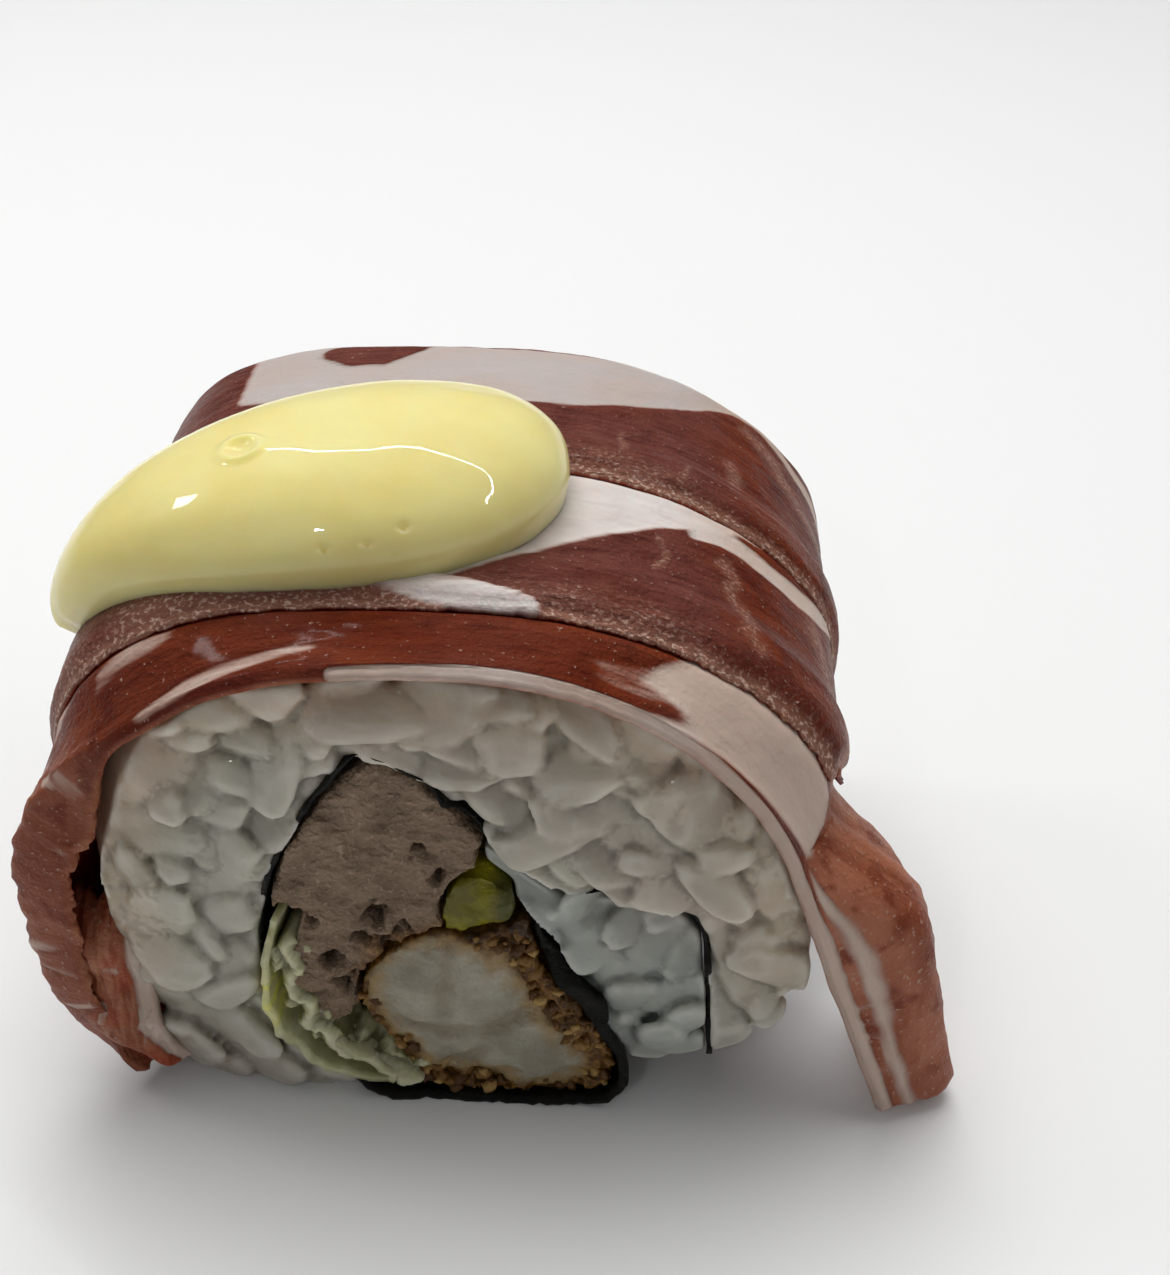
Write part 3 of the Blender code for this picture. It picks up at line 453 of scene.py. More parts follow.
def scatter_tree():
    """Small bodies bedded over a surface, largest spread kept even, each with its own turn."""
    tree = bpy.data.node_groups.new("bedded", "GeometryNodeTree")
    tree.interface.new_socket("Geometry", in_out="INPUT", socket_type="NodeSocketGeometry")
    for label, kind in (("Bodies", "NodeSocketCollection"), ("Finish", "NodeSocketMaterial"),
                        ("Spacing", "NodeSocketFloat"), ("Smallest", "NodeSocketFloat"),
                        ("Largest", "NodeSocketFloat"), ("Turn", "NodeSocketFloat"),
                        ("Tilt", "NodeSocketFloat"), ("Seed", "NodeSocketInt")):
        tree.interface.new_socket(label, in_out="INPUT", socket_type=kind)
    tree.interface.new_socket("Geometry", in_out="OUTPUT", socket_type="NodeSocketGeometry")
    given = put(tree, "NodeGroupInput").outputs
    spots = put(tree, "GeometryNodeDistributePointsOnFaces", {
        "Mesh": given["Geometry"], "Distance Min": given["Spacing"], "Density Max": 3.0e6,
        "Seed": given["Seed"]}, distribute_method="POISSON")
    out = put(tree, "GeometryNodeInputNamedAttribute", {"Name": "out"}, data_type="FLOAT_VECTOR")
    along = put(tree, "GeometryNodeInputNamedAttribute", {"Name": "along"}, data_type="FLOAT_VECTOR")
    sink = put(tree, "GeometryNodeInputNamedAttribute", {"Name": "sink"}, data_type="FLOAT")
    upright = put(tree, "FunctionNodeAlignRotationToVector", {"Vector": out.outputs[0]}, axis="Z")
    headed = put(tree, "FunctionNodeAlignRotationToVector",
                 {"Rotation": upright.outputs[0], "Vector": along.outputs[0]}, axis="X", pivot_axis="Z")

    def drawn(low, high, offset):
        """A number drawn for each body between two values."""
        seed = put(tree, "ShaderNodeMath", {0: given["Seed"], 1: float(offset)}, operation="ADD")
        node = put(tree, "FunctionNodeRandomValue", data_type="FLOAT")
        for label, value in (("Min", low), ("Max", high)):
            socket = [s for s in node.inputs if s.name == label and s.enabled][0]
            if isinstance(value, bpy.types.NodeSocket):
                tree.links.new(value, socket)
            else:
                socket.default_value = value
        tree.links.new(seed.outputs[0], node.inputs["Seed"])
        return [s for s in node.outputs if s.enabled][0]

    less_turn = sum_of(tree, given["Turn"], -1.0, "MULTIPLY")
    less_tilt = sum_of(tree, given["Tilt"], -1.0, "MULTIPLY")
    swing = put(tree, "ShaderNodeCombineXYZ", {
        0: drawn(less_tilt, given["Tilt"], 1), 1: drawn(less_tilt, given["Tilt"], 2),
        2: drawn(less_turn, given["Turn"], 3)})
    turned = put(tree, "FunctionNodeRotateRotation", {
        "Rotation": headed.outputs[0], "Rotate By": swing.outputs[0]}, rotation_space="LOCAL")
    lower = put(tree, "ShaderNodeVectorMath", {0: out.outputs[0]}, operation="SCALE")
    tree.links.new(sum_of(tree, sink.outputs[0], -1.0, "MULTIPLY"), lower.inputs["Scale"])
    bedded = put(tree, "GeometryNodeSetPosition", {
        "Geometry": spots.outputs["Points"], "Offset": lower.outputs[0]})
    bodies = put(tree, "GeometryNodeCollectionInfo", {
        "Collection": given["Bodies"], "Separate Children": True, "Reset Children": True})
    placed = put(tree, "GeometryNodeInstanceOnPoints", {
        "Points": bedded.outputs[0], "Instance": bodies.outputs[0], "Pick Instance": True,
        "Rotation": turned.outputs[0], "Scale": drawn(given["Smallest"], given["Largest"], 4)})
    tone = put(tree, "GeometryNodeStoreNamedAttribute", {
        "Geometry": placed.outputs[0], "Name": "own_tone"}, data_type="FLOAT", domain="INSTANCE")
    tree.links.new(drawn(0.0, 1.0, 5), [s for s in tone.inputs if s.name == "Value" and s.enabled][0])
    whole = put(tree, "GeometryNodeRealizeInstances", {"Geometry": tone.outputs[0]})
    finished = put(tree, "GeometryNodeSetMaterial", {
        "Geometry": whole.outputs[0], "Material": given["Finish"]})
    result = put(tree, "NodeGroupOutput")
    tree.links.new(finished.outputs[0], result.inputs[0])
    return tree


BEDDED = scatter_tree()


def bed_bodies(name, carrier, bodies, finish, **amounts):
    """The carrier's surface covered with small bodies, as one plain mesh."""
    shelf = bpy.data.collections.new(name + "_bodies")
    for body in bodies:
        bpy.context.scene.collection.objects.unlink(body)
        shelf.objects.link(body)
    modifier = carrier.modifiers.new("bed", "NODES")
    modifier.node_group = BEDDED
    values = {"Bodies": shelf, "Finish": finish, **amounts}
    for socket in BEDDED.interface.items_tree:
        if socket.in_out == "INPUT" and socket.name in values:
            modifier[socket.identifier] = values[socket.name]
    graph = bpy.context.evaluated_depsgraph_get()
    mesh = bpy.data.meshes.new_from_object(carrier.evaluated_get(graph))
    bpy.data.objects.remove(carrier)
    for body in bodies:
        bpy.data.objects.remove(body)
    bpy.data.collections.remove(shelf)
    mesh.shade_smooth()
    if not mesh.materials:
        mesh.materials.append(finish)
    return stand(name, mesh)


def bed_surface(node, keep, sinks):
    """The part of a solid's surface that is kept bare for bodies, with its directions."""
    shape = shape_of(node)
    hidden = [face for face in shape.faces if not keep(face.calc_center_median() / MM, face.normal)]
    bmesh.ops.delete(shape, geom=hidden, context="FACES")
    carrier = stand_shape(node + "_bed", shape)
    places = points_of(carrier)
    round_x = places[:, 0] - ARCH_X
    round_z = places[:, 2] - ARCH_Z
    far = np.maximum(1.0e-6, np.hypot(round_x, round_z))
    on_cut = np.abs(places[:, 1]) > CUT_ZONE
    out = np.stack([round_x / far, np.zeros_like(far), round_z / far], axis=1)
    lean = np.stack([GRAIN_LEAN * out[:, 0], np.sign(places[:, 1]), GRAIN_LEAN * out[:, 2]], axis=1)
    out[on_cut] = (lean / np.linalg.norm(lean, axis=1, keepdims=True))[on_cut]
    along = np.stack([-round_z / far, np.zeros_like(far), round_x / far], axis=1)
    for label, values in (("out", out), ("along", along)):
        layer = carrier.data.attributes.new(label, "FLOAT_VECTOR", "POINT")
        layer.data.foreach_set("vector", values.astype(np.float32).ravel())
    set_mark(carrier, "sink", sinks(places) * MM)
    return carrier


def hold_inside(piece, high):
    """Nothing of a piece lies under the ground, and little of it past this depth."""
    places = points_of(piece)
    places[:, 2] = np.maximum(places[:, 2], 0.0)
    past = np.abs(places[:, 1]) > high
    places[past, 1] = np.sign(places[past, 1]) * (high + 0.3 * (np.abs(places[past, 1]) - high))
    set_points(piece, places)


def rice_finish_named(name, wet, dry, crest, deep):
    """Cooked rice: clear and grey where wet, with painted highlight along each grain's raised edge, painted
    shade in the creases and gaps, and painted warm light from the ham.
    """
    material, tree, shader = start_finish(
        name, wet, 0.36, Subsurface_Weight=0.8, Subsurface_Radius=(1.0, 0.9, 0.75),
        Subsurface_Scale=0.0018, Coat_Weight=0.4, Coat_Roughness=0.08, Specular_IOR_Level=0.4)
    patches, grains = mottled(tree, 260.0, 1400.0)
    own = sum_of(tree, mark_of(tree, "own_tone"), 0.55, "MULTIPLY")
    share = between(tree, sum_of(tree, own, patches), 0.35, 1.0)
    colour = blend_colours(tree, share, wet, dry)
    broad = mottled(tree, 90.0, 400.0)[0]
    tint = ramp(tree, broad, 0.35, 0.65, (1.04, 0.98, 0.95, 1.0), (0.96, 1.01, 0.98, 1.0))
    colour = blend_colours(tree, 1.0, colour, tint, "MULTIPLY")
    # Painted light: a warm red tint where light bounced off the ham falls on the rice.
    ham_bounce_tint = blend_colours(tree, 1.0, colour, (1.12, 0.97, 0.85, 1.0), "MULTIPLY")
    colour = blend_colours(tree, mark_of(tree, "ham_bounce_light"), colour, ham_bounce_tint)
    # Painted highlight: the grains' raised edges are lightened to the crest colour.
    colour = blend_colours(tree, sum_of(tree, mark_of(tree, "rim"), 0.5, "MULTIPLY"), colour, crest)
    # Painted shade: the creases and the gaps between grains are darkened to the deep colour.
    shut = sum_of(tree, mark_of(tree, "crease_shade"), 0.6, "MULTIPLY")
    shut = sum_of(tree, shut, mark_of(tree, "gap"), "MAXIMUM")
    colour = blend_colours(tree, shut, colour, deep)
    tree.links.new(between(tree, grains, -0.55, 1.6), shader.inputs["Roughness"])
    cover(tree, shader, colour, sum_of(tree, patches, sum_of(tree, grains, 0.35, "MULTIPLY")), 0.00022)
    return material


def held_under(piece, over):
    """Nothing of a piece stands out of the arch by more than a little, at any direction."""
    places = points_of(piece)
    across = places[:, 0] - ARCH_X
    up = places[:, 2] - ARCH_Z
    most = np.array([rice_reach(math.atan2(z, x), y) for x, y, z in zip(across, places[:, 1], up)])
    side = eased((math.radians(20.0) - np.arctan2(up, across)) / 0.3)
    side = np.maximum(side, eased((np.arctan2(up, across) % (2.0 * math.pi) - math.radians(150.0)) / 0.3))
    most += over + 0.9 * side * (1.0 - eased((places[:, 1] - CUT_FRONT) / SIDE_SWELL))
    share = np.minimum(1.0, most / np.maximum(np.hypot(across, up), 1.0e-6))
    places[:, 0] = ARCH_X + across * share
    places[:, 2] = ARCH_Z + up * share
    set_points(piece, places)


def near_outline(places, outline):
    """Distance outside an outline on the cut, below 0 inside it, and the nearest place on it."""
    x, z = places[:, 0], places[:, 2]
    nearest = np.full(len(places), 1.0e9)
    place = np.zeros((len(places), 2))
    inside = np.zeros(len(places), dtype=bool)
    for (ax, az), (bx, bz) in zip(outline, np.roll(outline, -1, axis=0)):
        share = ((x - ax) * (bx - ax) + (z - az) * (bz - az)) / ((bx - ax) ** 2 + (bz - az) ** 2)
        share = np.clip(share, 0.0, 1.0)
        foot = np.stack([ax + share * (bx - ax), az + share * (bz - az)], axis=1)
        far = np.hypot(x - foot[:, 0], z - foot[:, 1])
        closer = far < nearest
        nearest[closer] = far[closer]
        place[closer] = foot[closer]
        crosses = (az > z) != (bz > z)
        inside ^= crosses & (x < ax + (z - az) * (bx - ax) / (bz - az + 1.0e-12))
    return np.where(inside, -nearest, nearest), place


def past_outline(places, outline):
    """Only the distance outside an outline."""
    return near_outline(places, outline)[0]


def kept_clear(piece, outline, side, gap):
    """Points on the wrong side of an outline are pressed back to it, as by the nori there."""
    places = points_of(piece)
    by, foot = near_outline(places, outline)
    wrong = by * side < gap
    away = foot - places[:, (0, 2)]
    away *= (np.sign(-by * side) / np.maximum(1.0e-6, np.abs(by)))[:, None]
    pressed = foot + away * gap
    places[wrong, 0] = pressed[wrong, 0]
    places[wrong, 2] = pressed[wrong, 1]
    set_points(piece, places)


def under_even_run(piece, rounds):
    """How far each point lies under the smooth run of the skin, below 0 on a crest."""
    places = points_of(piece)
    ends = np.zeros(2 * len(piece.data.edges), dtype=np.int32)
    piece.data.edges.foreach_get("vertices", ends)
    here, there = np.concatenate([ends[0::2], ends[1::2]]), np.concatenate([ends[1::2], ends[0::2]])
    count = np.bincount(here, minlength=len(places))[:, None]
    even = places.copy()
    for _ in range(rounds):
        even = np.stack([np.bincount(here, weights=even[there, k], minlength=len(places))
                         for k in range(3)], axis=1) / count
    return np.einsum("ij,ij->i", even - places, normals_of(piece))


def stick_together(name, core, bodies, cell, settle, most):
    """A core and its bodies stuck into one closed skin, where each body keeps its own tone."""
    tones = np.zeros(len(bodies.data.vertices), dtype=np.float32)
    bodies.data.attributes["own_tone"].data.foreach_get("value", tones)
    lookup = KDTree(len(bodies.data.vertices))
    for index, place in enumerate(points_of(bodies)):
        lookup.insert(place, index)
    lookup.balance()
    shape = bmesh.new()
    shape.from_mesh(core.data)
    shape.from_mesh(bodies.data)
    for used in (core, bodies):
        bpy.data.objects.remove(used)
    piece = evened(stand_shape(name, shape), cell, settle)
    if 2 * len(piece.data.polygons) > most:
        fewer = piece.modifiers.new("fewer", "DECIMATE")
        fewer.ratio = most / (2.0 * len(piece.data.polygons))
        worked_in(piece)
    places = points_of(piece)
    places[:, 2] = np.maximum(places[:, 2], 0.0)
    set_points(piece, places)
    set_mark(piece, "own_tone", tones[[lookup.find(place)[1] for place in places]])
    below = under_even_run(piece, 5)
    # Painted highlight: the rim mark lightens the crests of the skin.
    set_mark(piece, "rim", eased((-below - 0.01) / 0.07))
    # Painted shade: the crease mark darkens the hollows of the skin.
    set_mark(piece, "crease_shade", eased((below - 0.012) / 0.08))
    return piece


def paint_gap_shade_and_ham_light(piece):
    """Painted shade by how far each point lies behind the grains' tops, 0 at a top and 1 in a gap, and
    painted warm light from the ham on the rice near it.
    """
    places = points_of(piece)
    behind = GRAIN_TOPS - np.abs(places[:, 1])
    reach = np.array([rice_reach(math.atan2(z - ARCH_Z, x - ARCH_X), y) for x, y, z in places])
    below = reach + 0.3 - np.hypot(places[:, 0] - ARCH_X, places[:, 2] - ARCH_Z)
    set_mark(piece, "gap", eased((np.minimum(behind, below) - GAP_SHADE_FROM) / (GAP_SHADE_TO - GAP_SHADE_FROM)))
    # Painted light: warm light bounced off the ham, on the rice just under it.
    set_mark(piece, "ham_bounce_light", (1.0 - eased((below - 0.5) / 5.0)) * eased((places[:, 2] - 8.0) / 8.0))


def dress(piece, node, finish=None):
    """A piece rides on the roll's one body and stands for its solid."""
    if finish is not None:
        piece.data.materials.clear()
        piece.data.materials.append(finish)
    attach(piece, "root")
    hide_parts(node)


# The crest colour is a painted highlight on the grains' edges, the deep colour painted shade in the creases
# and gaps.
rice_finish = rice_finish_named("rice_outer", shade(149, 142, 129), shade(178, 171, 158),
                                shade(214, 209, 198), shade(104, 94, 76))
rice_core = finer("rice", "rice_core", 0.55, 8)
places = points_of(rice_core)
facing = normals_of(rice_core)
far = np.hypot(places[:, 0] - ARCH_X, places[:, 2] - ARCH_Z)
full = np.array([rice_reach(math.atan2(z - ARCH_Z, x - ARCH_X), y) for x, y, z in places])
open_side = np.maximum(eased((np.abs(facing[:, 1]) - 0.3) / 0.4), eased((far / full - 0.88) / 0.06))
set_points(rice_core, places - (0.4 * open_side)[:, None] * facing)


def rice_shows(centre, normal):
    """Whole grains show on the cuts, and on the sides where no ham lies."""
    angle = math.atan2(centre.z - ARCH_Z, centre.x - ARCH_X)
    reach = math.hypot(centre.x - ARCH_X, centre.z - ARCH_Z)
    if abs(centre.y) > CUT_ZONE and abs(normal.y) > 0.25:
        return True
    outside = reach > 0.8 * rice_reach(angle, centre.y)
    under_ham = 20.0 < math.degrees(angle) % 360.0 < 135.0
    return outside and not under_ham and centre.z > 1.0 and abs(centre.y) < 14.6


def rice_sinks(places):
    """Grains lie deeper at the lower left, where the rice was pressed to a paste."""
    paste = eased((-9.0 - places[:, 0]) / 8.0) * eased((13.0 - places[:, 2]) / 6.0)
    return 0.1 + 0.6 * paste + 0.5 * rough(places, 1.8, 8.0)


grain_bodies = [
    pressed_grain("grain_%d" % k, 7.0 * k, GRAIN_LENGTH * long, GRAIN_WIDTH * wide, GRAIN_DEPTH * thick)
    for k, (long, wide, thick) in enumerate((
        (1.0, 1.0, 1.0), (1.12, 0.86, 1.1), (0.86, 1.1, 0.9), (0.66, 0.95, 1.1), (0.95, 0.76, 1.3),
        (0.74, 1.2, 0.8), (0.5, 0.62, 1.2)))]
rice_grains = bed_bodies(
    "rice_grains", bed_surface("rice", rice_shows, rice_sinks), grain_bodies, rice_finish,
    Spacing=2.2 * MM, Smallest=0.74, Largest=1.12, Turn=math.radians(70.0),
    Tilt=math.radians(13.0), Seed=11)
hold_inside(rice_grains, GRAINS_END)
held_under(rice_grains, 0.28)
kept_clear(rice_grains, np.array(NORI_ROUTE[:14] + [(13.7, -1.0)]), 1.0, 0.08)
outer_rice = stick_together("rice_outer", rice_core, rice_grains, 0.23, 2, 190000)
paint_gap_shade_and_ham_light(outer_rice)
dress(outer_rice, "rice", rice_finish)


# The rice inside the nori's last turn: the same grains, shaded and stained a little
# bluish by the wet nori round them.
INNER_RICE_OUTLINE = [
    (-0.6, 22.9), (2.0, 21.4), (6.4, 19.4), (10.1, 19.2), (12.6, 15.8), (13.2, 10.4), (13.4, 4.6),
    (10.4, 3.4), (8.4, 4.0), (6.5, 8.4), (5.2, 11.0), (4.9, 12.8), (3.2, 15.4), (1.0, 18.6), (-0.6, 20.6)]
# The crest colour is a painted highlight on the grains' edges, the deep colour painted shade in the creases
# and gaps.
inner_finish = rice_finish_named("rice_inner", shade(146, 148, 141), shade(170, 171, 164),
                                 shade(211, 211, 204), shade(96, 98, 92))
inner_core = finer("rice_inner", "rice_inner_core", 0.4, 6)
facing = normals_of(inner_core)
set_points(inner_core, points_of(inner_core) - 0.5 * np.abs(facing[:, 1:2]) * facing)
kept_clear(inner_core, np.array(INNER_RICE_OUTLINE), -1.0, 0.0)


def inner_rice_shows(centre, normal):
    """Whole grains show on the cuts, below the strip that the nori presses thin."""
    on_cut = abs(centre.y) > CUT_ZONE and abs(normal.y) > 0.25
    return on_cut and (centre.x > 3.4 or centre.z < 17.0)


grain_bodies = [
    pressed_grain("inner_grain_%d" % k, 5.0 * k, GRAIN_LENGTH * long, GRAIN_WIDTH * 0.9, GRAIN_DEPTH)
    for k, long in enumerate((0.8, 0.95, 0.7))]
inner_grains = bed_bodies(
    "rice_inner_grains",
    bed_surface("rice_inner", inner_rice_shows, lambda places: 0.45 + 0.4 * rough(places, 2.0, 9.0)),
    grain_bodies, inner_finish, Spacing=2.1 * MM, Smallest=0.66, Largest=0.95,
    Turn=math.radians(85.0), Tilt=math.radians(16.0), Seed=4)
hold_inside(inner_grains, 17.8)
kept_clear(inner_grains, np.array(INNER_RICE_OUTLINE), -1.0, 0.0)
inner_rice = stick_together("rice_inner", inner_core, inner_grains, 0.21, 2, 90000)
paint_gap_shade_and_ham_light(inner_rice)
dress(inner_rice, "rice_inner", inner_finish)


# The pate: a coarse, pale brown spread, pressed along the top of the filling by a spoon.
# It tears into pits where it meets the prawn.
pate_finish, tree, shader = start_finish(
    "pate_spread", shade(128, 106, 84), 0.6, Subsurface_Weight=0.15,
    Subsurface_Radius=(1.0, 0.6, 0.45), Subsurface_Scale=0.0008, Specular_IOR_Level=0.4)
patches, grains = mottled(tree, 420.0, 2600.0)
colour = ramp(tree, patches, 0.3, 0.7, shade(126, 103, 81), shade(152, 128, 104))
colour = ramp(tree, grains, 0.56, 0.75, colour, shade(172, 150, 126))
stained = ramp(tree, grains, 0.35, 0.65, shade(104, 64, 26), shade(164, 120, 66))
colour = blend_colours(tree, mark_of(tree, "stain"), colour, stained)
# Painted shade: the pits, and the hollows between the lumps, are darkened.
colour = blend_colours(tree, mark_of(tree, "pit_shade"), colour, shade(66, 47, 31))
cover(tree, shader, colour, sum_of(tree, grains, patches), 0.0006)

PITS = [(-7.4, 17.1, 1.2), (-6.9, 14.4, 0.8), (-10.6, 12.8, 0.9), (-6.0, 15.6, 0.8), (-8.6, 15.4, 0.5),
        (-11.6, 16.4, 0.5), (-3.4, 20.4, 0.4), (-9.8, 10.6, 0.8), (-8.2, 12.0, 0.6), (-4.6, 22.8, 0.35)]
MEAT_OUTLINE = np.array([
    (-6.0, 14.6), (-3.5, 15.3), (-1.7, 14.2), (0.2, 13.4), (1.4, 11.6), (2.3, 8.7), (4.5, 5.9),
    (5.7, 3.9), (4.9, 1.9), (2.5, 1.3), (-0.2, 2.5), (-4.8, 2.8), (-5.7, 5.3), (-6.9, 6.2),
    (-8.1, 8.7), (-8.2, 11.1), (-7.1, 13.9)])
pate = finer("pate", "pate_spread", 0.27, 2)
places = points_of(pate)
facing = normals_of(pate)
on_cut = eased((np.abs(facing[:, 1]) - 0.4) / 0.4)
torn = eased((18.5 - places[:, 2]) / 5.0)
smears = rough(places @ np.array([[0.35, 0.0, 0.5], [0.0, 1.0, 0.0], [-1.0, 0.0, 1.4]]), 0.9, 11.0) * 0.2
lumps = smears + rough(places, 2.6, 12.0) * 0.45 + rough(places, 0.9, 13.0) * (0.16 + 0.22 * torn)
crumbs = rough(places, 0.5, 14.0, 2) * 0.15
pits = np.zeros(len(places))
for x, z, size in PITS:
    far = np.hypot(places[:, 0] - x, places[:, 2] - z) + 0.9 * rough(places, 0.8, 15.0, 2)
    pits = np.maximum(pits, 1.0 - eased(far / size))
places += ((lumps + crumbs - 1.2 * pits) * (0.35 + 0.65 * on_cut))[:, None] * facing
set_points(pate, places)
# Painted shade mark: full in the pits, weaker in the hollows between the lumps.
set_mark(pate, "pit_shade", np.clip(pits * 1.2 + 0.35 * eased(-lumps * 2.0), 0.0, 1.0))
by_prawn = past_outline(places, MEAT_OUTLINE) + 1.0 * rough(places, 1.4, 16.0, 2)
set_mark(pate, "stain", 0.85 * (1.0 - eased((by_prawn - 0.3) / 1.3)))
dress(pate, "pate", pate_finish)


# The breaded prawn: firm white meat, opaque and a little darker and browner in its grooves, in a crust
# of coarse dried crumbs fried golden brown. The crust is thick on the right and below,
# and mostly rubbed off where the pate lies on it.
prawn_finish, tree, shader = start_finish(
    "breaded_prawn", shade(170, 163, 146), 0.38, Subsurface_Weight=0.4,
    Subsurface_Radius=(1.0, 0.7, 0.5), Subsurface_Scale=0.0014, Coat_Weight=0.1,
    Coat_Roughness=0.2, Specular_IOR_Level=0.3)
patches, grains = mottled(tree, 380.0, 2200.0)
meat = ramp(tree, patches, 0.3, 0.75, shade(148, 141, 123), shade(180, 174, 157))
meat = blend_colours(tree, mark_of(tree, "groove"), meat, shade(134, 110, 82))
meat = blend_colours(tree, mark_of(tree, "golden"), meat, shade(160, 128, 72))
crust = ramp(tree, grains, 0.3, 0.7, shade(84, 53, 14), shade(142, 100, 40))
crust = ramp(tree, patches, 0.52, 0.72, crust, shade(52, 30, 12))
dark_fried = sum_of(tree, mark_of(tree, "dark_fried"), 0.75, "MULTIPLY")
crust = blend_colours(tree, dark_fried, crust, shade(48, 28, 10))
colour = blend_colours(tree, mark_of(tree, "crust"), meat, crust)
cover(tree, shader, colour, sum_of(tree, grains, patches), 0.00025)

prawn = finer("breaded_prawn", "breaded_prawn_body", 0.3, 1)
places = points_of(prawn)
facing = normals_of(prawn)
out_by = past_outline(places, MEAT_OUTLINE) + 0.5 * rough(places, 1.2, 20.0)
crust_share = eased((out_by + 0.25) / 0.9)
groove = np.zeros(len(places))
for start, end in (((-3.0, 14.4), (-3.6, 9.2)), ((-6.6, 7.6), (-1.2, 7.3)), ((-1.2, 7.3), (2.0, 8.6)),
                   ((-3.6, 3.2), (-1.0, 5.6))):
    line = np.array([start, end])
    far = np.abs(past_outline(places + 0.3 * rough(places, 1.5, 21.0)[:, None], line))
    groove = np.maximum(groove, 1.0 - eased(far / 1.0))
on_cut = eased((np.abs(facing[:, 1]) - 0.4) / 0.4)
bulge = 0.8 * eased(-out_by / 3.0) + 0.25 * rough(places, 2.2, 22.0) - 0.4 * groove
crags = 0.62 * rough(places, 0.95, 23.0, 2) - 0.15
places += (on_cut * np.where(crust_share > 0.5, crags, bulge)
           + (1.0 - on_cut) * 0.25 * rough(places, 1.0, 24.0))[:, None] * facing
places[:, 2] = np.maximum(places[:, 2], 0.45)
set_points(prawn, places)
set_mark(prawn, "crust", np.maximum(crust_share, 1.0 - on_cut))
set_mark(prawn, "groove", 0.35 * groove * (1.0 - crust_share))
set_mark(prawn, "dark_fried", eased((out_by - 1.4) / 1.4))
set_mark(prawn, "golden", 0.8 * eased((out_by + 1.5 + 0.8 * rough(places, 0.9, 26.0, 2)) / 1.7))
dress(prawn, "breaded_prawn", prawn_finish)

crumb_finish, tree, shader = start_finish(
    "fried_crumb", shade(130, 92, 42), 0.45, Subsurface_Weight=0.15,
    Subsurface_Radius=(1.0, 0.5, 0.2), Subsurface_Scale=0.0006, Coat_Weight=0.15,
    Coat_Roughness=0.25, Specular_IOR_Level=0.25)
own = mark_of(tree, "own_tone")
patches, grains = mottled(tree, 800.0, 3500.0)
colour = ramp(tree, own, 0.1, 0.9, shade(88, 56, 20), shade(150, 110, 54))
palest = between(tree, sum_of(tree, own, patches), 1.15, 1.4)
colour = blend_colours(tree, palest, colour, shade(178, 142, 84))
cover(tree, shader, colour, grains, 0.0002)


def crust_shows(centre, normal):
    """Crumbs stand out of the cuts, round the meat."""
    place = np.array([[centre.x, centre.y, centre.z]])
    return abs(centre.y) > CUT_ZONE and abs(normal.y) > 0.2 and past_outline(place, MEAT_OUTLINE)[0] > 0.25


def crumb_shape(name, seed):
    """A dried crumb: a small splintered flake."""
    piece = pressed_grain(name, seed, 0.95, 0.72, 0.5, rings=3, sides=8)
    places = points_of(piece)
    set_points(piece, places * (1.0 + 1.1 * rough(places, 0.45, seed))[:, None])
    return piece


crumbs = bed_bodies(
    "fried_crumbs",
    bed_surface("breaded_prawn", crust_shows, lambda places: 0.1 + 0.3 * rough(places, 1.0, 25.0)),
    [crumb_shape("crumb_%d" % k, 3.0 + 4.0 * k) for k in range(5)], crumb_finish,
    Spacing=0.58 * MM, Smallest=0.45, Largest=1.25, Turn=math.pi, Tilt=math.radians(50.0), Seed=21)
hold_inside(crumbs, GRAINS_END)
dress(crumbs, "breaded_prawn")


# The avocado: one small ripe strip, soft and slightly oily, greener at its skin side.
# It lies between the pate and the prawn and is cut with the roll.
avocado_finish, tree, shader = start_finish(
    "avocado_strip", shade(116, 108, 34), 0.26, Subsurface_Weight=0.3,
    Subsurface_Radius=(0.8, 1.0, 0.15), Subsurface_Scale=0.001, Coat_Weight=0.2, Coat_Roughness=0.08,
    Specular_IOR_Level=0.2)
patches, grains = mottled(tree, 450.0, 2200.0)
colour = ramp(tree, patches, 0.3, 0.7, shade(96, 90, 2), shade(146, 136, 14))
colour = blend_colours(tree, mark_of(tree, "skin_side"), colour, shade(78, 76, 18))
cover(tree, shader, colour, sum_of(tree, grains, patches), 0.0002)
avocado = finer("avocado", "avocado_strip", 0.2, 3)
places = points_of(avocado)
facing = normals_of(avocado)
places += (0.55 * rough(places, 2.4, 30.0, 2) + 0.08 * rough(places, 0.5, 31.0))[:, None] * facing
set_points(avocado, places)
set_mark(avocado, "skin_side", eased((places[:, 0] + 0.6) / 1.2))
dress(avocado, "avocado", avocado_finish)


# The lettuce: one pale leaf end, folded under the pate and round the prawn, with thin
# wavy blades and a bright yellow fold at the left. Dressing clings to its inner side.
LETTUCE_THICKNESS = 0.6
LETTUCE_FRONT = -17.75
LETTUCE_ROUTE = [
    (-12.9, 17.2), (-13.8, 14.4), (-14.3, 11.0), (-14.2, 8.0), (-12.9, 5.2),
    (-10.6, 2.9), (-8.2, 1.8), (-7.2, 2.7), (-8.6, 4.2), (-10.3, 5.6),
]
lettuce_finish, tree, shader = start_finish(
    "lettuce_leaf", shade(170, 172, 116), 0.3, Subsurface_Weight=0.45,
    Subsurface_Radius=(0.8, 1.0, 0.4), Subsurface_Scale=0.0012, Coat_Weight=0.3, Coat_Roughness=0.12)
patches, grains = mottled(tree, 350.0, 1800.0, 0.35)
colour = ramp(tree, patches, 0.3, 0.7, shade(172, 168, 124), shade(196, 192, 154))
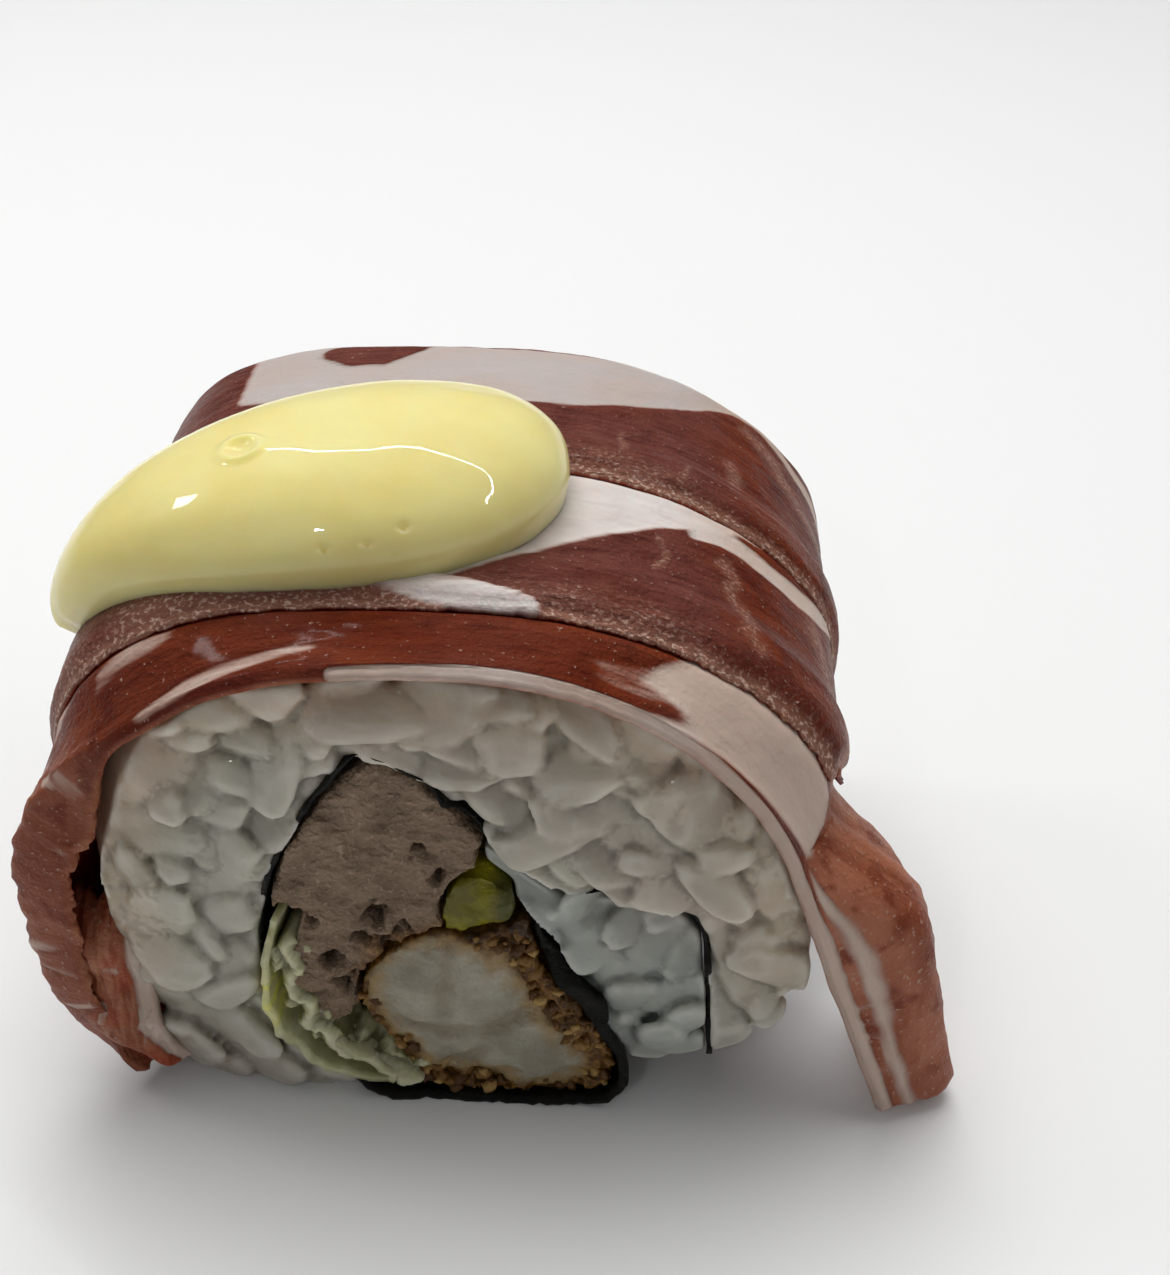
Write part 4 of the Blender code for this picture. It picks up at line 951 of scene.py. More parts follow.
# Painted shade: the deep mark darkens the valleys of the crumpled lap.
colour = blend_colours(tree, mark_of(tree, "deep"), colour, shade(116, 112, 74))
colour = blend_colours(tree, mark_of(tree, "bright"), colour, shade(236, 232, 118))
# The vein mark: real veins on the blade, and a painted highlight on the crests of the crumpled lap.
colour = blend_colours(tree, mark_of(tree, "vein"), colour, shade(214, 210, 178))
cover(tree, shader, colour, sum_of(tree, grains, patches), 0.0002)
LETTUCE_LAP_ROUTE = [(-12.5, 14.6), (-12.6, 11.2), (-11.7, 7.6), (-9.8, 4.8), (-7.2, 3.0), (-5.4, 2.2)]


def make_leaf(name, route, thickness, front, seed):
    """One lap of the leaf: a wavy blade along a route, its ends cut with the roll."""
    line = evenly(curve_through(route, 6), 0.35)
    side_way = sideways(line)
    depths = np.linspace(front, 17.2, 70)
    grid_x = np.repeat(line[:, :1], len(depths), axis=1)
    grid_z = np.repeat(line[:, 1:], len(depths), axis=1)
    grid_y = np.repeat(depths[None, :], len(line), axis=0)
    middle = np.stack([grid_x, grid_y, grid_z], axis=-1)
    edge_wave = 0.5 * rough(middle[:, :1], 1.5, seed, 2)
    near_front = 1.0 - eased((grid_y - LETTUCE_FRONT) / 4.0)
    near_rear = eased((grid_y - 13.2) / 4.0)
    middle[:, :, 1] += edge_wave * near_front - edge_wave * near_rear
    wave = 0.14 * rough(middle, 1.3, seed + 1.0)
    thick = 0.5 * thickness * (0.75 + 0.35 * rough(middle, 1.1, seed + 2.0))
    skins = []
    for side in (1.0, -1.0):
        skin = middle.copy()
        skin[:, :, 0] += (wave + side * thick) * side_way[:, :1] - 0.6 * near_front * (grid_z > 3.0)
        skin[:, :, 2] += (wave + side * thick) * side_way[:, 1:]
        skin[:, :, 2] = np.maximum(skin[:, :, 2], 0.5)
        skins.append(skin)
    veins = 0.6 * eased((rough(middle * np.array([1.0, 0.25, 1.0]), 0.8, seed + 3.0) - 0.12) / 0.15)
    bright = eased((13.0 - grid_z) / 2.0) * eased((grid_z - 6.5) / 2.0) * (grid_x < -13.0)
    return close_sheet(name, skins[0], skins[1], {"vein": (veins, veins), "bright": (bright, bright)})


leaf = make_leaf("lettuce_leaf", LETTUCE_ROUTE, LETTUCE_THICKNESS, LETTUCE_FRONT, 33.0)
dress(leaf, "lettuce", lettuce_finish)

crumpled = evened(make_leaf("lettuce_lap", LETTUCE_LAP_ROUTE, 2.7, -17.2, 37.0), 0.24, 1)
line = evenly(curve_through(LETTUCE_LAP_ROUTE, 6), 0.35)
places = points_of(crumpled)
facing = normals_of(crumpled)
near = np.hypot(places[:, :1] - line[None, :, 0], places[:, 2:] - line[None, :, 1]).argmin(axis=1)
aside = np.sum((places[:, (0, 2)] - line[near]) * sideways(line)[near], axis=1)
bends = rough(np.stack([0.35 * near, 0.3 * aside, 0.1 * places[:, 1]], axis=1), 1.6, 39.0, 2)
folds = np.sin(3.6 * aside + 3.4 * bends)
places += (0.36 * folds + 0.10 * rough(places, 0.6, 41.0))[:, None] * facing
places[:, 2] = np.maximum(places[:, 2], 0.5)
set_points(crumpled, places)
# Painted light on the folds: the crests are lightened with the vein colour, a painted highlight, and the
# valleys darkened with the deep mark, painted shade.
set_mark(crumpled, "vein", 0.8 * eased((folds - 0.35) / 0.5))
set_mark(crumpled, "deep", eased((-0.1 - folds) / 0.8))
dress(crumpled, "lettuce", lettuce_finish)


# The ham: three thin slices of dry-cured ham, laid over the rice from front to rear, each
# over the rear edge of the one before. The meat is dark red and oily, with a broad band
# of pale fat along one side of each slice and fine veins of fat through the lean.
HAM_THICKNESS = 1.0
HAM_SKIN = 0.85
HAM_REST = 0.45
HAM_HALF_LENGTH = 45.0
HAM_CELL = 0.27
HAM_BULGE = (5.9, 0.5)
HAM_LEAVE = (20.0, 14.0)
FLAP_TURN = (6.6, 1.0)
FLAP_TURN_DEPTH = 2.6
FLAP_TURN_START = -1.0
FLAP_TURN_RUN = 8.0
FLAP_LENGTH = 26.0
HAM_LAP_RAMP = 2.6
LAP_LIFT = 0.62
HAM_TURNED_IN = 3.2
HAM_ORDER = ("ham_front", "ham_middle", "ham_back")
FRONT_EDGES = {"ham_front": -17.3, "ham_middle": -12.1, "ham_back": 0.8}
REAR_EDGES = {"ham_front": -9.2, "ham_middle": 3.2, "ham_back": 17.2}
RIGHT_HEMS = {"ham_front": 0.5, "ham_middle": 19.0, "ham_back": 7.0}
LEFT_HEMS = {"ham_front": 1.0, "ham_middle": 3.4, "ham_back": 2.2}


def ham_line(depth):
    """The line that the ham follows at one depth: reaches from the top, and places."""
    swell = step_up((depth - CUT_FRONT) / SIDE_SWELL)
    bulge = HAM_BULGE[0] + (HAM_BULGE[1] - HAM_BULGE[0]) * swell
    back = (depth - CUT_FRONT) / (CUT_REAR - CUT_FRONT)
    leave = HAM_LEAVE[0] + (HAM_LEAVE[1] - HAM_LEAVE[0]) * step_up(back)

    def arch(degrees, lift=0.0):
        """A place on the rice's skin, or so far off it."""
        reach = rice_reach(math.radians(degrees), depth) + lift
        return (ARCH_X + reach * math.cos(math.radians(degrees)),
                ARCH_Z + reach * math.sin(math.radians(degrees)))

    left = []
    for degrees in np.arange(90.0, 212.1, 1.0):
        out = step_up((degrees - 128.0) / 45.0) * (1.0 - 0.6 * step_up((degrees - 192.0) / 20.0))
        left.append(arch(degrees, bulge * out))
    right = [arch(degrees) for degrees in np.arange(90.0, leave, -1.0)]
    corner = np.array(arch(leave))
    ahead = corner - np.array(arch(leave + 2.0))
    ahead /= np.linalg.norm(ahead)
    turn = FLAP_TURN[0] + (FLAP_TURN[1] - FLAP_TURN[0]) * step_up(1.5 * back)
    turn *= step_up((depth - CUT_FRONT) / FLAP_TURN_DEPTH)
    for reach in np.linspace(0.0, FLAP_LENGTH, 53):
        aside = turn * step_up((reach - FLAP_TURN_START) / FLAP_TURN_RUN)
        right.append(tuple(corner + ahead * reach + np.array([aside, 0.0])))
    left, right = np.array(left), np.array(right)
    walk_left = np.concatenate([[0.0], np.cumsum(np.linalg.norm(np.diff(left, axis=0), axis=1))])
    walk_right = np.concatenate([[0.0], np.cumsum(np.linalg.norm(np.diff(right, axis=0), axis=1))])
    reaches = np.concatenate([-walk_left[:0:-1], walk_right])
    return reaches, np.concatenate([left[:0:-1], right])


BED_STEP = 0.3
BED_DEPTHS = np.arange(-18.6, 18.7, BED_STEP)
BED_REACHES = np.arange(-56.0, 60.0, BED_STEP)
BED = np.zeros((len(BED_DEPTHS), len(BED_REACHES), 2))
for row, depth in enumerate(BED_DEPTHS):
    reaches, line = ham_line(depth)
    BED[row, :, 0] = np.interp(BED_REACHES, reaches, line[:, 0])
    BED[row, :, 1] = np.interp(BED_REACHES, reaches, line[:, 1])


def on_bed(reach, depth):
    """Places on the ham's bed, for arrays of reaches and depths."""
    a = np.clip((depth - BED_DEPTHS[0]) / BED_STEP, 0.0, len(BED_DEPTHS) - 1.001)
    b = np.clip((reach - BED_REACHES[0]) / BED_STEP, 0.0, len(BED_REACHES) - 1.001)
    i, j = a.astype(int), b.astype(int)
    p, q = (a - i)[..., None], (b - j)[..., None]
    flat = ((BED[i, j] * (1 - p) + BED[i + 1, j] * p) * (1 - q)
            + (BED[i, j + 1] * (1 - p) + BED[i + 1, j + 1] * p) * q)
    return np.stack([flat[..., 0], depth, flat[..., 1]], axis=-1)


def out_of_bed(reach, depth):
    """Straight out of the ham's bed, for arrays of reaches and depths."""
    along = on_bed(reach + 0.8, depth) - on_bed(reach - 0.8, depth)
    back = on_bed(reach, depth + 0.5) - on_bed(reach, depth - 0.5)
    out = np.cross(along, back)
    return out / np.maximum(np.linalg.norm(out, axis=-1, keepdims=True), 1.0e-9)


def reach_at_height(height, side):
    """For each depth of the bed, the reach at which it has come down to a height."""
    found = []
    for row in range(len(BED_DEPTHS)):
        order = np.nonzero(BED_REACHES * side >= 0.0)[0]
        order = order[np.argsort(np.abs(BED_REACHES[order]))]
        heights = BED[row, order, 1]
        below = np.nonzero(heights <= height)[0]
        if len(below) == 0:
            last_move = np.nonzero(np.abs(np.diff(heights)) > 1.0e-6)[0][-1]
            found.append(BED_REACHES[order[last_move]])
            continue
        k = below[0]
        share = (heights[k - 1] - height) / (heights[k - 1] - heights[k])
        above, under = BED_REACHES[order[k - 1]], BED_REACHES[order[k]]
        found.append(above + share * (under - above))
    return np.array(found)


def lap_lift(name, depth):
    """How far a slice rides up where its front part lies on the slice before it."""
    place = HAM_ORDER.index(name)
    if place == 0:
        return np.zeros_like(depth)
    drop = eased((depth - REAR_EDGES[HAM_ORDER[place - 1]] - 0.5) / HAM_LAP_RAMP)
    return LAP_LIFT * (1.0 - drop)


def pressed_thin(name, depth):
    """How far a slice is pressed thin where the next slice lies on it, 0 to 1."""
    place = HAM_ORDER.index(name)
    if place == len(HAM_ORDER) - 1:
        return np.zeros_like(depth)
    return eased((depth - FRONT_EDGES[HAM_ORDER[place + 1]] + 0.45) / 0.8)


def rough_at(across, up, back, seed, octaves=1):
    """The uneven value at places given by three arrays or plain numbers."""
    return rough(np.stack(np.broadcast_arrays(across, up, back), axis=-1), 1.0, seed, octaves)


def band(reach, depth, stations, soft):
    """A band of fat along a slice: its depths from and to at each of its reaches."""
    table = np.array(stations)
    low = np.interp(reach, table[:, 0], table[:, 1])
    high = np.interp(reach, table[:, 0], table[:, 2])
    begins = eased((reach - table[0, 0]) / (2.0 * soft) + 0.5)
    ends = eased((table[-1, 0] - reach) / (2.0 * soft) + 0.5)
    return begins * ends * eased((depth - low) / soft + 0.5) * eased((high - depth) / soft + 0.5)


def vein(reach, depth, points, half):
    """A thin wandering vein of fat."""
    places = np.stack([reach.ravel(), 0.0 * reach.ravel(), depth.ravel()], axis=1)
    far = np.full(len(places), 1.0e9)
    places = places + 0.5 * rough(places, 2.2, 72.0)[:, None]
    smooth = curve_through(points, 4)
    for start, end in zip(smooth, smooth[1:]):
        far = np.minimum(far, np.abs(past_outline(places, np.array([start, end]))))
    return (1.0 - eased(far / (2.8 * half))).reshape(reach.shape)


def fat_of_back(reach, depth):
    """The back slice: a broad band of fat along its rear edge, and thin veins."""
    fat = band(reach, depth, [(-16.2, 9.6, 19.0), (-13.5, 8.9, 19.0), (-10.0, 8.8, 19.0), (-4.0, 9.5, 19.0),
                              (0.0, 9.6, 19.0), (2.0, 8.7, 19.0), (6.0, 9.1, 19.0), (10.0, 10.5, 19.0),
                              (12.0, 11.6, 19.0), (14.0, 12.9, 19.0), (15.4, 14.3, 18.6),
                              (17.0, 15.4, 17.9), (19.0, 15.7, 17.0), (21.0, 15.0, 16.2), (23.0, 13.8, 15.2),
                              (27.0, 13.0, 14.6), (33.0, 12.8, 14.8), (40.0, 12.4, 15.0)], 0.7)
    lean = band(reach, depth, [(-11.4, 14.5, 15.4), (-9.4, 13.3, 16.8), (-7.0, 13.4, 18.4),
                               (-4.6, 15.4, 19.0), (-3.2, 16.8, 19.0)], 0.6)
    lean = np.maximum(lean, band(reach, depth, [(-3.0, 17.0, 19.0), (8.0, 16.8, 19.0)], 0.4))
    fat = fat * (1.0 - lean)
    vein_haze_and_painted_light = 0.0 * fat
    for points, half in (([(18.5, 14.4), (20.2, 12.9), (21.6, 11.6), (23.4, 10.0), (26.0, 8.6)], 0.32),
                         ([(16.6, 8.2), (17.2, 7.0), (17.0, 6.0)], 0.2),
                         ([(9.0, 3.6), (9.4, 5.2), (9.2, 6.6)], 0.10), ([(12.8, 2.0), (13.4, 4.4)], 0.10),
                         ([(-24.0, 9.0), (-29.0, 10.5), (-36.0, 9.6)], 0.5),
                         ([(-26.0, 3.6), (-32.0, 4.6), (-40.0, 4.0)], 0.3),
                         ([(28.0, 4.0), (33.0, 5.4), (38.0, 5.0)], 0.35)):
        vein_haze_and_painted_light = np.maximum(vein_haze_and_painted_light, vein(reach, depth, points, 1.3 * half))
    left = band(reach, depth, [(-60.0, 14.2, 19.0), (-40.0, 14.8, 19.0), (-24.0, 15.2, 19.0),
                               (-20.0, 16.2, 19.0), (-14.0, 16.6, 19.0)], 0.7)
    return np.maximum(fat, left), 0.8 * vein_haze_and_painted_light


def tongue_of_fat(reach, depth, soft):
    """The loose tongue of clear fat that lies over the middle slice's front edge."""
    return band(reach, depth, [(-4.6, -10.6, -9.4), (-1.6, -11.8, -9.6), (1.4, -12.8, -10.2),
                               (4.0, -13.4, -10.9), (5.2, -13.2, -11.5)], soft)


def fat_of_middle(reach, depth):
    """The middle slice: a band of fat across its top, the tongue, and long veins."""
    soft = np.interp(reach, (8.0, 13.0), (1.2, 0.6))
    fat = band(reach, depth, [(-60.0, -6.2, -3.0), (-40.0, -6.4, -3.2), (-20.0, -7.4, -3.0),
                              (-10.0, -9.4, -2.0), (-3.4, -11.0, -1.0), (0.0, -10.0, 1.0), (3.0, -8.1, 5.0),
                              (6.0, -6.0, 5.0), (10.0, -3.6, 5.0), (13.0, -1.9, 5.0), (15.0, -0.9, 3.2),
                              (16.6, 0.1, 1.9), (20.0, 0.7, 1.8), (24.0, 1.8, 2.6), (34.0, 2.0, 2.8),
                              (50.0, 2.0, 2.9)], soft)
    fat = np.maximum(fat, band(reach, depth, [(13.6, -2.4, 0.4), (15.6, -1.9, 0.2), (17.2, -1.8, -0.2),
                                              (19.5, -2.2, -0.5), (22.0, -2.1, -0.3), (24.5, -1.4, 0.3),
                                              (27.0, 0.2, 1.4), (31.0, 0.6, 1.6)], 0.5))
    fat = np.maximum(fat, 0.72 * tongue_of_fat(reach, depth, 0.5))
    # A pale haze under the mayonnaise's left end: partly the lean's own grey bloom, partly painted light
    # against the mayonnaise's shadow.
    vein_haze_and_painted_light = 1.15 * band(reach, depth, [(-19.0, -14.0, -8.6), (-8.0, -14.0, -9.4), (0.0, -13.0, -10.4)], 2.0)
    for points, half in (([(15.8, -3.4), (16.7, -4.4), (16.2, -5.4), (17.2, -6.5), (17.7, -7.8),
                           (17.1, -8.8), (17.9, -9.8)], 0.22),
                         ([(11.8, -3.4), (12.2, -4.8), (11.6, -6.0)], 0.10),
                         ([(23.6, -3.0), (24.8, -5.4), (26.0, -7.6), (26.6, -9.8)], 0.42),
                         ([(-22.0, -11.8), (-26.0, -10.4), (-33.0, -10.9)], 0.5)):
        vein_haze_and_painted_light = np.maximum(vein_haze_and_painted_light, 0.8 * vein(reach, depth, points, 1.3 * half))
    return fat, vein_haze_and_painted_light


def fat_of_front(reach, depth):
    """The front slice: fat at the right shoulder, a pale rim, stripes down the flap."""
    fat = band(reach, depth, [(8.0, -18.0, -16.9), (10.0, -17.6, -15.2), (12.0, -17.2, -13.2),
                              (14.0, -16.8, -12.0), (16.0, -16.6, -10.0), (19.0, -16.4, -9.0),
                              (22.0, -16.2, -9.5), (24.5, -15.9, -10.5), (26.0, -15.7, -12.4),
                              (27.4, -15.6, -14.0)], 1.3)
    lean = band(reach, depth, [(7.2, -16.9, -16.2), (9.0, -16.9, -15.2), (11.5, -16.7, -14.8),
                               (14.0, -16.1, -15.2)], 1.1)
    fat = fat * (1.0 - 0.8 * lean) * (0.25 + 0.75 * eased((reach - 9.0) / 4.0))
    rim = band(reach, depth, [(-6.0, -18.5, -17.0), (4.0, -18.5, -16.7), (16.0, -18.5, -16.8),
                              (26.0, -18.5, -16.9), (60.0, -18.5, -16.95)], 0.25)
    fat = np.maximum(fat, rim)
    for stations, strength in (
            ([(-17.8, -17.4, -16.5), (-14.0, -17.1, -15.6), (-10.0, -16.2, -15.1),
              (-6.5, -15.4, -14.9)], 0.62),
            ([(-21.0, -13.8, -12.6), (-18.0, -13.4, -12.0), (-15.2, -12.9, -12.3)], 0.55),
            ([(-26.0, -14.0, -12.8), (-23.4, -12.8, -11.4), (-21.5, -12.0, -11.2)], 0.6),
            ([(-31.0, -16.6, -15.0), (-28.4, -16.2, -14.4), (-26.4, -15.2, -14.4)], 0.6),
            ([(8.0, -15.6, -14.2), (11.0, -16.0, -13.6), (14.0, -15.0, -12.4)], 0.35)):
        fat = np.maximum(fat, strength * band(reach, depth, stations, 0.8))
    turned = eased((depth - CUT_FRONT) / FLAP_TURN_DEPTH)
    turned = turned + 0.03 * rough_at(reach / 3.0, 0.0, 0.0, 70.0)
    rim = 1.0 - eased((turned - 0.16) / 0.06)
    pale = 0.12 * eased((turned - 0.5) / 0.1) * (1.0 - eased((turned - 0.85) / 0.1))
    pale = pale * (1.0 + rough_at(reach / 1.6, 0.0, depth / 0.4, 71.0, 2))
    second = eased((turned - 0.29) / 0.07) * (1.0 - eased((turned - 0.50) / 0.09))
    rungs = np.zeros_like(reach)
    for place, strength, wide in ((31.5, 0.2, 0.7), (35.2, 0.25, 0.5), (38.4, 0.45, 0.45), (39.9, 0.3, 0.25),
                                  (41.2, 0.45, 0.4), (44.6, 0.3, 0.9)):
        rungs = np.maximum(rungs, strength * np.exp(-((reach - place - 3.0 * (turned - 0.25)) / wide) ** 2))
    rungs *= eased((turned - 0.10) / 0.05) * (1.0 - eased((turned - 0.38) / 0.05))
    on_flap = eased((reach - 25.5) / 3.0)
    fat = fat * (1.0 - on_flap) + on_flap * np.max([rim, 0.8 * second, rungs, pale], axis=0)
    return fat, 0.0 * fat


def lay_along(piece, flat):
    """The piece's UV: how far each point lies along and across the slice, in metres."""
    corners = np.zeros(len(piece.data.loops), dtype=np.int32)
    piece.data.loops.foreach_get("vertex_index", corners)
    layer = piece.data.uv_layers.new(name="along_slice")
    layer.data.foreach_set("uv", (flat[corners] * MM).astype(np.float32).ravel())


def make_ham(name, fat_of, redness, painted_fat_shade):
    """One slice: its outer and inner skin over the bed, thin at its laid edges."""
    seed = 10.0 * HAM_ORDER.index(name)
    front, rear = FRONT_EDGES[name], REAR_EDGES[name]
    rows = 300
    columns = max(28, round((rear - front) / HAM_CELL))
    share = np.repeat(np.linspace(-1.0, 1.0, rows)[:, None], columns, axis=1)
    across = np.repeat(np.linspace(0.0, 1.0, columns)[None, :], rows, axis=0)
    along = HAM_HALF_LENGTH * share
    nothing = np.zeros_like(along)
    first = np.full_like(along, front)
    last = np.full_like(along, rear)
    fray = 0.16 * rough_at(along / 1.1, 0.0, 0.0, seed + 2.0, 2)
    if name != "ham_front":
        first += 0.35 * rough_at(along / 5.0, 0.0, 0.0, seed) + fray
    if name != "ham_back":
        last += 0.35 * rough_at(along / 6.0, 0.0, 5.0, seed)
    if name == "ham_front":
        across = 0.35 * across + 0.65 * across ** 2
    depth = first + (last - first) * across
    if name != "ham_middle":
        from_cut = across if name == "ham_front" else 1.0 - across
        near = eased(1.0 - from_cut * (rear - front) / 1.2)
        depth += near * 0.5 * fray
    left = np.interp(depth, BED_DEPTHS, reach_at_height(LEFT_HEMS[name], -1.0))
    right = np.interp(depth, BED_DEPTHS, reach_at_height(RIGHT_HEMS[name], 1.0))
    jag = 1.0 - 0.035 * np.abs(rough_at(depth / 1.3, share, 0.0, seed + 6.0, 2))
    jag = 1.0 - (1.0 - jag) * eased((np.abs(share) - 0.88) / 0.12)
    if name == "ham_middle":
        right = right - 7.5 * (1.0 - eased((depth - front) / 6.5))
    reach = np.where(share < 0.0, -share * left, share * right) * jag
    place = on_bed(reach, depth)
    out = out_of_bed(reach, depth)
    wave = 0.10 * rough_at(along / 3.5, 0.0, depth / 3.5, seed)
    creases = 0.07 * rough_at(reach / 1.6, 0.0, depth / 0.8, seed + 4.0, 2)
    free = eased((-reach - 20.0) / 8.0) + eased((reach - 26.0) / 6.0)
    # Painted shade: the sides, where the ham hangs down, are pushed by the tone mark to the darker, deeper
    # red that has no sheen.
    aside = 0.95 * eased((reach - 12.0) / 7.0) + 0.5 * eased((-reach - 18.0) / 8.0)
    creases *= 0.5 + free
    lift = HAM_REST + lap_lift(name, depth) + wave
    from_edges = np.minimum(depth - first, last - depth)
    from_hems = np.minimum(share + 1.0, 1.0 - share) * HAM_HALF_LENGTH
    if name == "ham_front":
        body = 0.55 + 0.45 * eased(np.minimum(from_edges, from_hems) / 0.5)
    else:
        body = 0.30 + 0.70 * eased(np.minimum(from_edges / 1.4, from_hems / 3.5))
    body *= 1.0 - 0.55 * pressed_thin(name, depth)
    fat, vein_haze_and_painted_light = fat_of(reach, depth)
    inner_turned = outer_turned = nothing
    if name == "ham_front":
        at_left = eased((-reach - 19.0) / 8.0) * eased((reach + 52.0) / 6.0)
        uneven = 1.0 + 0.14 * rough_at(reach / 3.0, 0.0, 0.0, 90.0)
        uneven += 0.10 * rough_at(reach / 0.8, 0.0, 0.0, 93.0, 2)
        turned = HAM_TURNED_IN * at_left * uneven
        inner_turned = turned * (1.0 - eased((depth - CUT_FRONT) / 4.5))
        outer_turned = 0.92 * turned * (1.0 - eased((depth - CUT_FRONT) / 1.0)) ** 1.5
        wrinkles = rough_at(reach / 1.1, 0.0, depth / 0.8, 91.0, 2)
        creases = creases + 0.42 * at_left * (1.0 - eased((depth - CUT_FRONT) / 3.0)) * wrinkles
        fat = np.maximum(fat, 0.62 * at_left * eased((rough(place, 1.5, 92.0, 2) - 0.2) / 0.4))
    outer = place + out * (lift + HAM_SKIN * body + creases - outer_turned)[..., None]
    inner = place + out * (lift + creases * 0.7 - inner_turned)[..., None]
    if name == "ham_middle":
        curl = 0.20 + 0.22 * eased((reach - 2.6) / 2.2)
        outer += out * (curl * tongue_of_fat(reach, depth, 0.35))[..., None]
    outer[..., 2] = np.maximum(outer[..., 2], 0.05)
    inner[..., 2] = np.maximum(inner[..., 2], 0.05)
    tone = np.clip(redness + aside + 0.35 * rough_at(reach / 6.0, 0.0, depth / 3.0, seed + 8.0), 0.0, 1.0)
    # The frost mark: pale bloom on the lean, partly painted light, which lights up the front edges of the
    # middle and back slices where they face down into shade.
    frost_and_painted_light = nothing
    if name != "ham_front":
        uneven = rough_at(reach / 4.0, 0.0, depth / 2.0, seed + 3.0, 2)
        near_front = 0.75 * (1.0 - eased((depth - first - 0.4) / 3.0))
        near_front *= 1.0 - 0.75 * eased((reach - 11.0) / 5.0)
        frost_and_painted_light = np.maximum(near_front * np.clip(0.6 + 0.8 * uneven, 0.0, 1.0), vein_haze_and_painted_light)
        frost_and_painted_light = np.maximum(frost_and_painted_light, 1.9 * (1.0 - eased((depth - first - 0.15) / 0.75)))
    # Painted light: the flap mark gives a paler, warmer lean to the hanging flap and to the front slice's
    # turned-in left edge.
    flap = eased((reach - 24.0) / 6.0) * (depth < -9.0)
    if name == "ham_front":
        flap = np.maximum(flap, 0.65 * at_left * (1.0 - eased((depth - CUT_FRONT) / 3.5)))
    # The inner_side mark carries the painted red glow of the inner skin.
    slice_of_ham = close_sheet(name + "_slice", outer, inner, {
        "fat": (fat, 0.5 * fat), "tone": (tone, eased((-15.2 - depth) / 2.0)), "flap": (flap, flap),
        "inner_side": (nothing, nothing + 1.0), "frost_and_painted_light": (frost_and_painted_light, nothing),
        "painted_fat_shade": (nothing + painted_fat_shade, nothing + painted_fat_shade)})
    lay_along(slice_of_ham, np.concatenate([np.stack([reach, depth], axis=-1).reshape(-1, 2)] * 2))
    dress(slice_of_ham, name, ham_finish)


ham_finish, tree, shader = start_finish(
    "cured_ham", shade(104, 52, 40), 0.4, Subsurface_Weight=0.2,
    Subsurface_Radius=(1.0, 0.35, 0.25), Subsurface_Scale=0.0008, Coat_Weight=0.13,
    Coat_Roughness=0.1, Specular_IOR_Level=0.06)
uv = put(tree, "ShaderNodeUVMap", uv_map="along_slice").outputs[0]


def fibre_noise(turn, along, across, detail=4.0):
    """Noise drawn out into fibres that cross the slice at an angle."""
    place = put(tree, "ShaderNodeMapping", {
        "Vector": uv, "Rotation": (0.0, 0.0, math.radians(turn)), "Scale": (along, across, 1.0)})
    return put(tree, "ShaderNodeTexNoise", {
        "Vector": place.outputs[0], "Scale": 1.0, "Detail": detail, "Distortion": 0.4}).outputs["Fac"]


fibres = fibre_noise(28.0, 420.0, 2100.0)
strands = fibre_noise(8.0, 90.0, 700.0)
fat_streaks = fibre_noise(80.0, 240.0, 1500.0)
patches, grains = mottled(tree, 420.0, 3200.0)
dull = ramp(tree, patches, 0.3, 0.72, shade(80, 36, 30), shade(108, 58, 49))
dull = ramp(tree, fibres, 0.25, 0.8, dull, shade(116, 66, 56))
bright = ramp(tree, strands, 0.3, 0.7, shade(88, 27, 10), shade(118, 50, 24))
bright = ramp(tree, patches, 0.5, 0.8, bright, shade(80, 24, 11))
# The tone mark: the front slice's own redder lean and random patches, and painted shade on the roll's sides.
lean = blend_colours(tree, mark_of(tree, "tone"), dull, bright)
# Painted light: a paler, warmer lean where the flap mark lies, as if better lit.
lit_flap_lean = ramp(tree, strands, 0.3, 0.7, shade(144, 76, 50), shade(184, 118, 90))
lit_flap_lean = ramp(tree, patches, 0.5, 0.7, lit_flap_lean, shade(130, 62, 38))
lit_flap_lean = ramp(tree, grains, 0.6, 0.72, lit_flap_lean, shade(196, 150, 122))
lean = blend_colours(tree, sum_of(tree, mark_of(tree, "flap"), 0.85, "MULTIPLY"), lean, lit_flap_lean)
# Painted light: the inner skin is a vivid red, lighter than the lean, standing in for light glowing through
# the slice into the dark gap by the rice; paler and more orange near the cut.
inside = ramp(tree, strands, 0.35, 0.7, shade(160, 30, 12), shade(186, 62, 34))
paler_inside = ramp(tree, fibres, 0.3, 0.7, shade(132, 70, 46), shade(170, 112, 84))
inside = blend_colours(tree, mark_of(tree, "tone"), inside, paler_inside)
lean = blend_colours(tree, mark_of(tree, "inner_side"), lean, inside)
lean = ramp(tree, grains, 0.66, 0.74, lean, shade(168, 136, 124))
# The frost mark as a pale haze and fine pale flecks: partly bloom on the lean, partly painted light, the
# flecks standing in for small glints.
frost_and_painted_light = mark_of(tree, "frost_and_painted_light")
lean = blend_colours(tree, sum_of(tree, frost_and_painted_light, 0.36, "MULTIPLY"), lean, shade(168, 122, 102))
flecks = fibre_noise(40.0, 3100.0, 5600.0, 4.0)
pale_flecks_and_glints = sum_of(tree, frost_and_painted_light, between(tree, flecks, 0.5, 0.68), "MULTIPLY")
lean = blend_colours(tree, sum_of(tree, pale_flecks_and_glints, 0.65, "MULTIPLY"), lean, shade(214, 180, 162))
edge_noise = sum_of(tree, sum_of(tree, fat_streaks, strands), -1.0)
fat_share = sum_of(tree, mark_of(tree, "fat"), sum_of(tree, edge_noise, 0.55, "MULTIPLY"))
fat_colour = ramp(tree, fat_streaks, 0.3, 0.75, shade(218, 207, 202), shade(227, 219, 214))
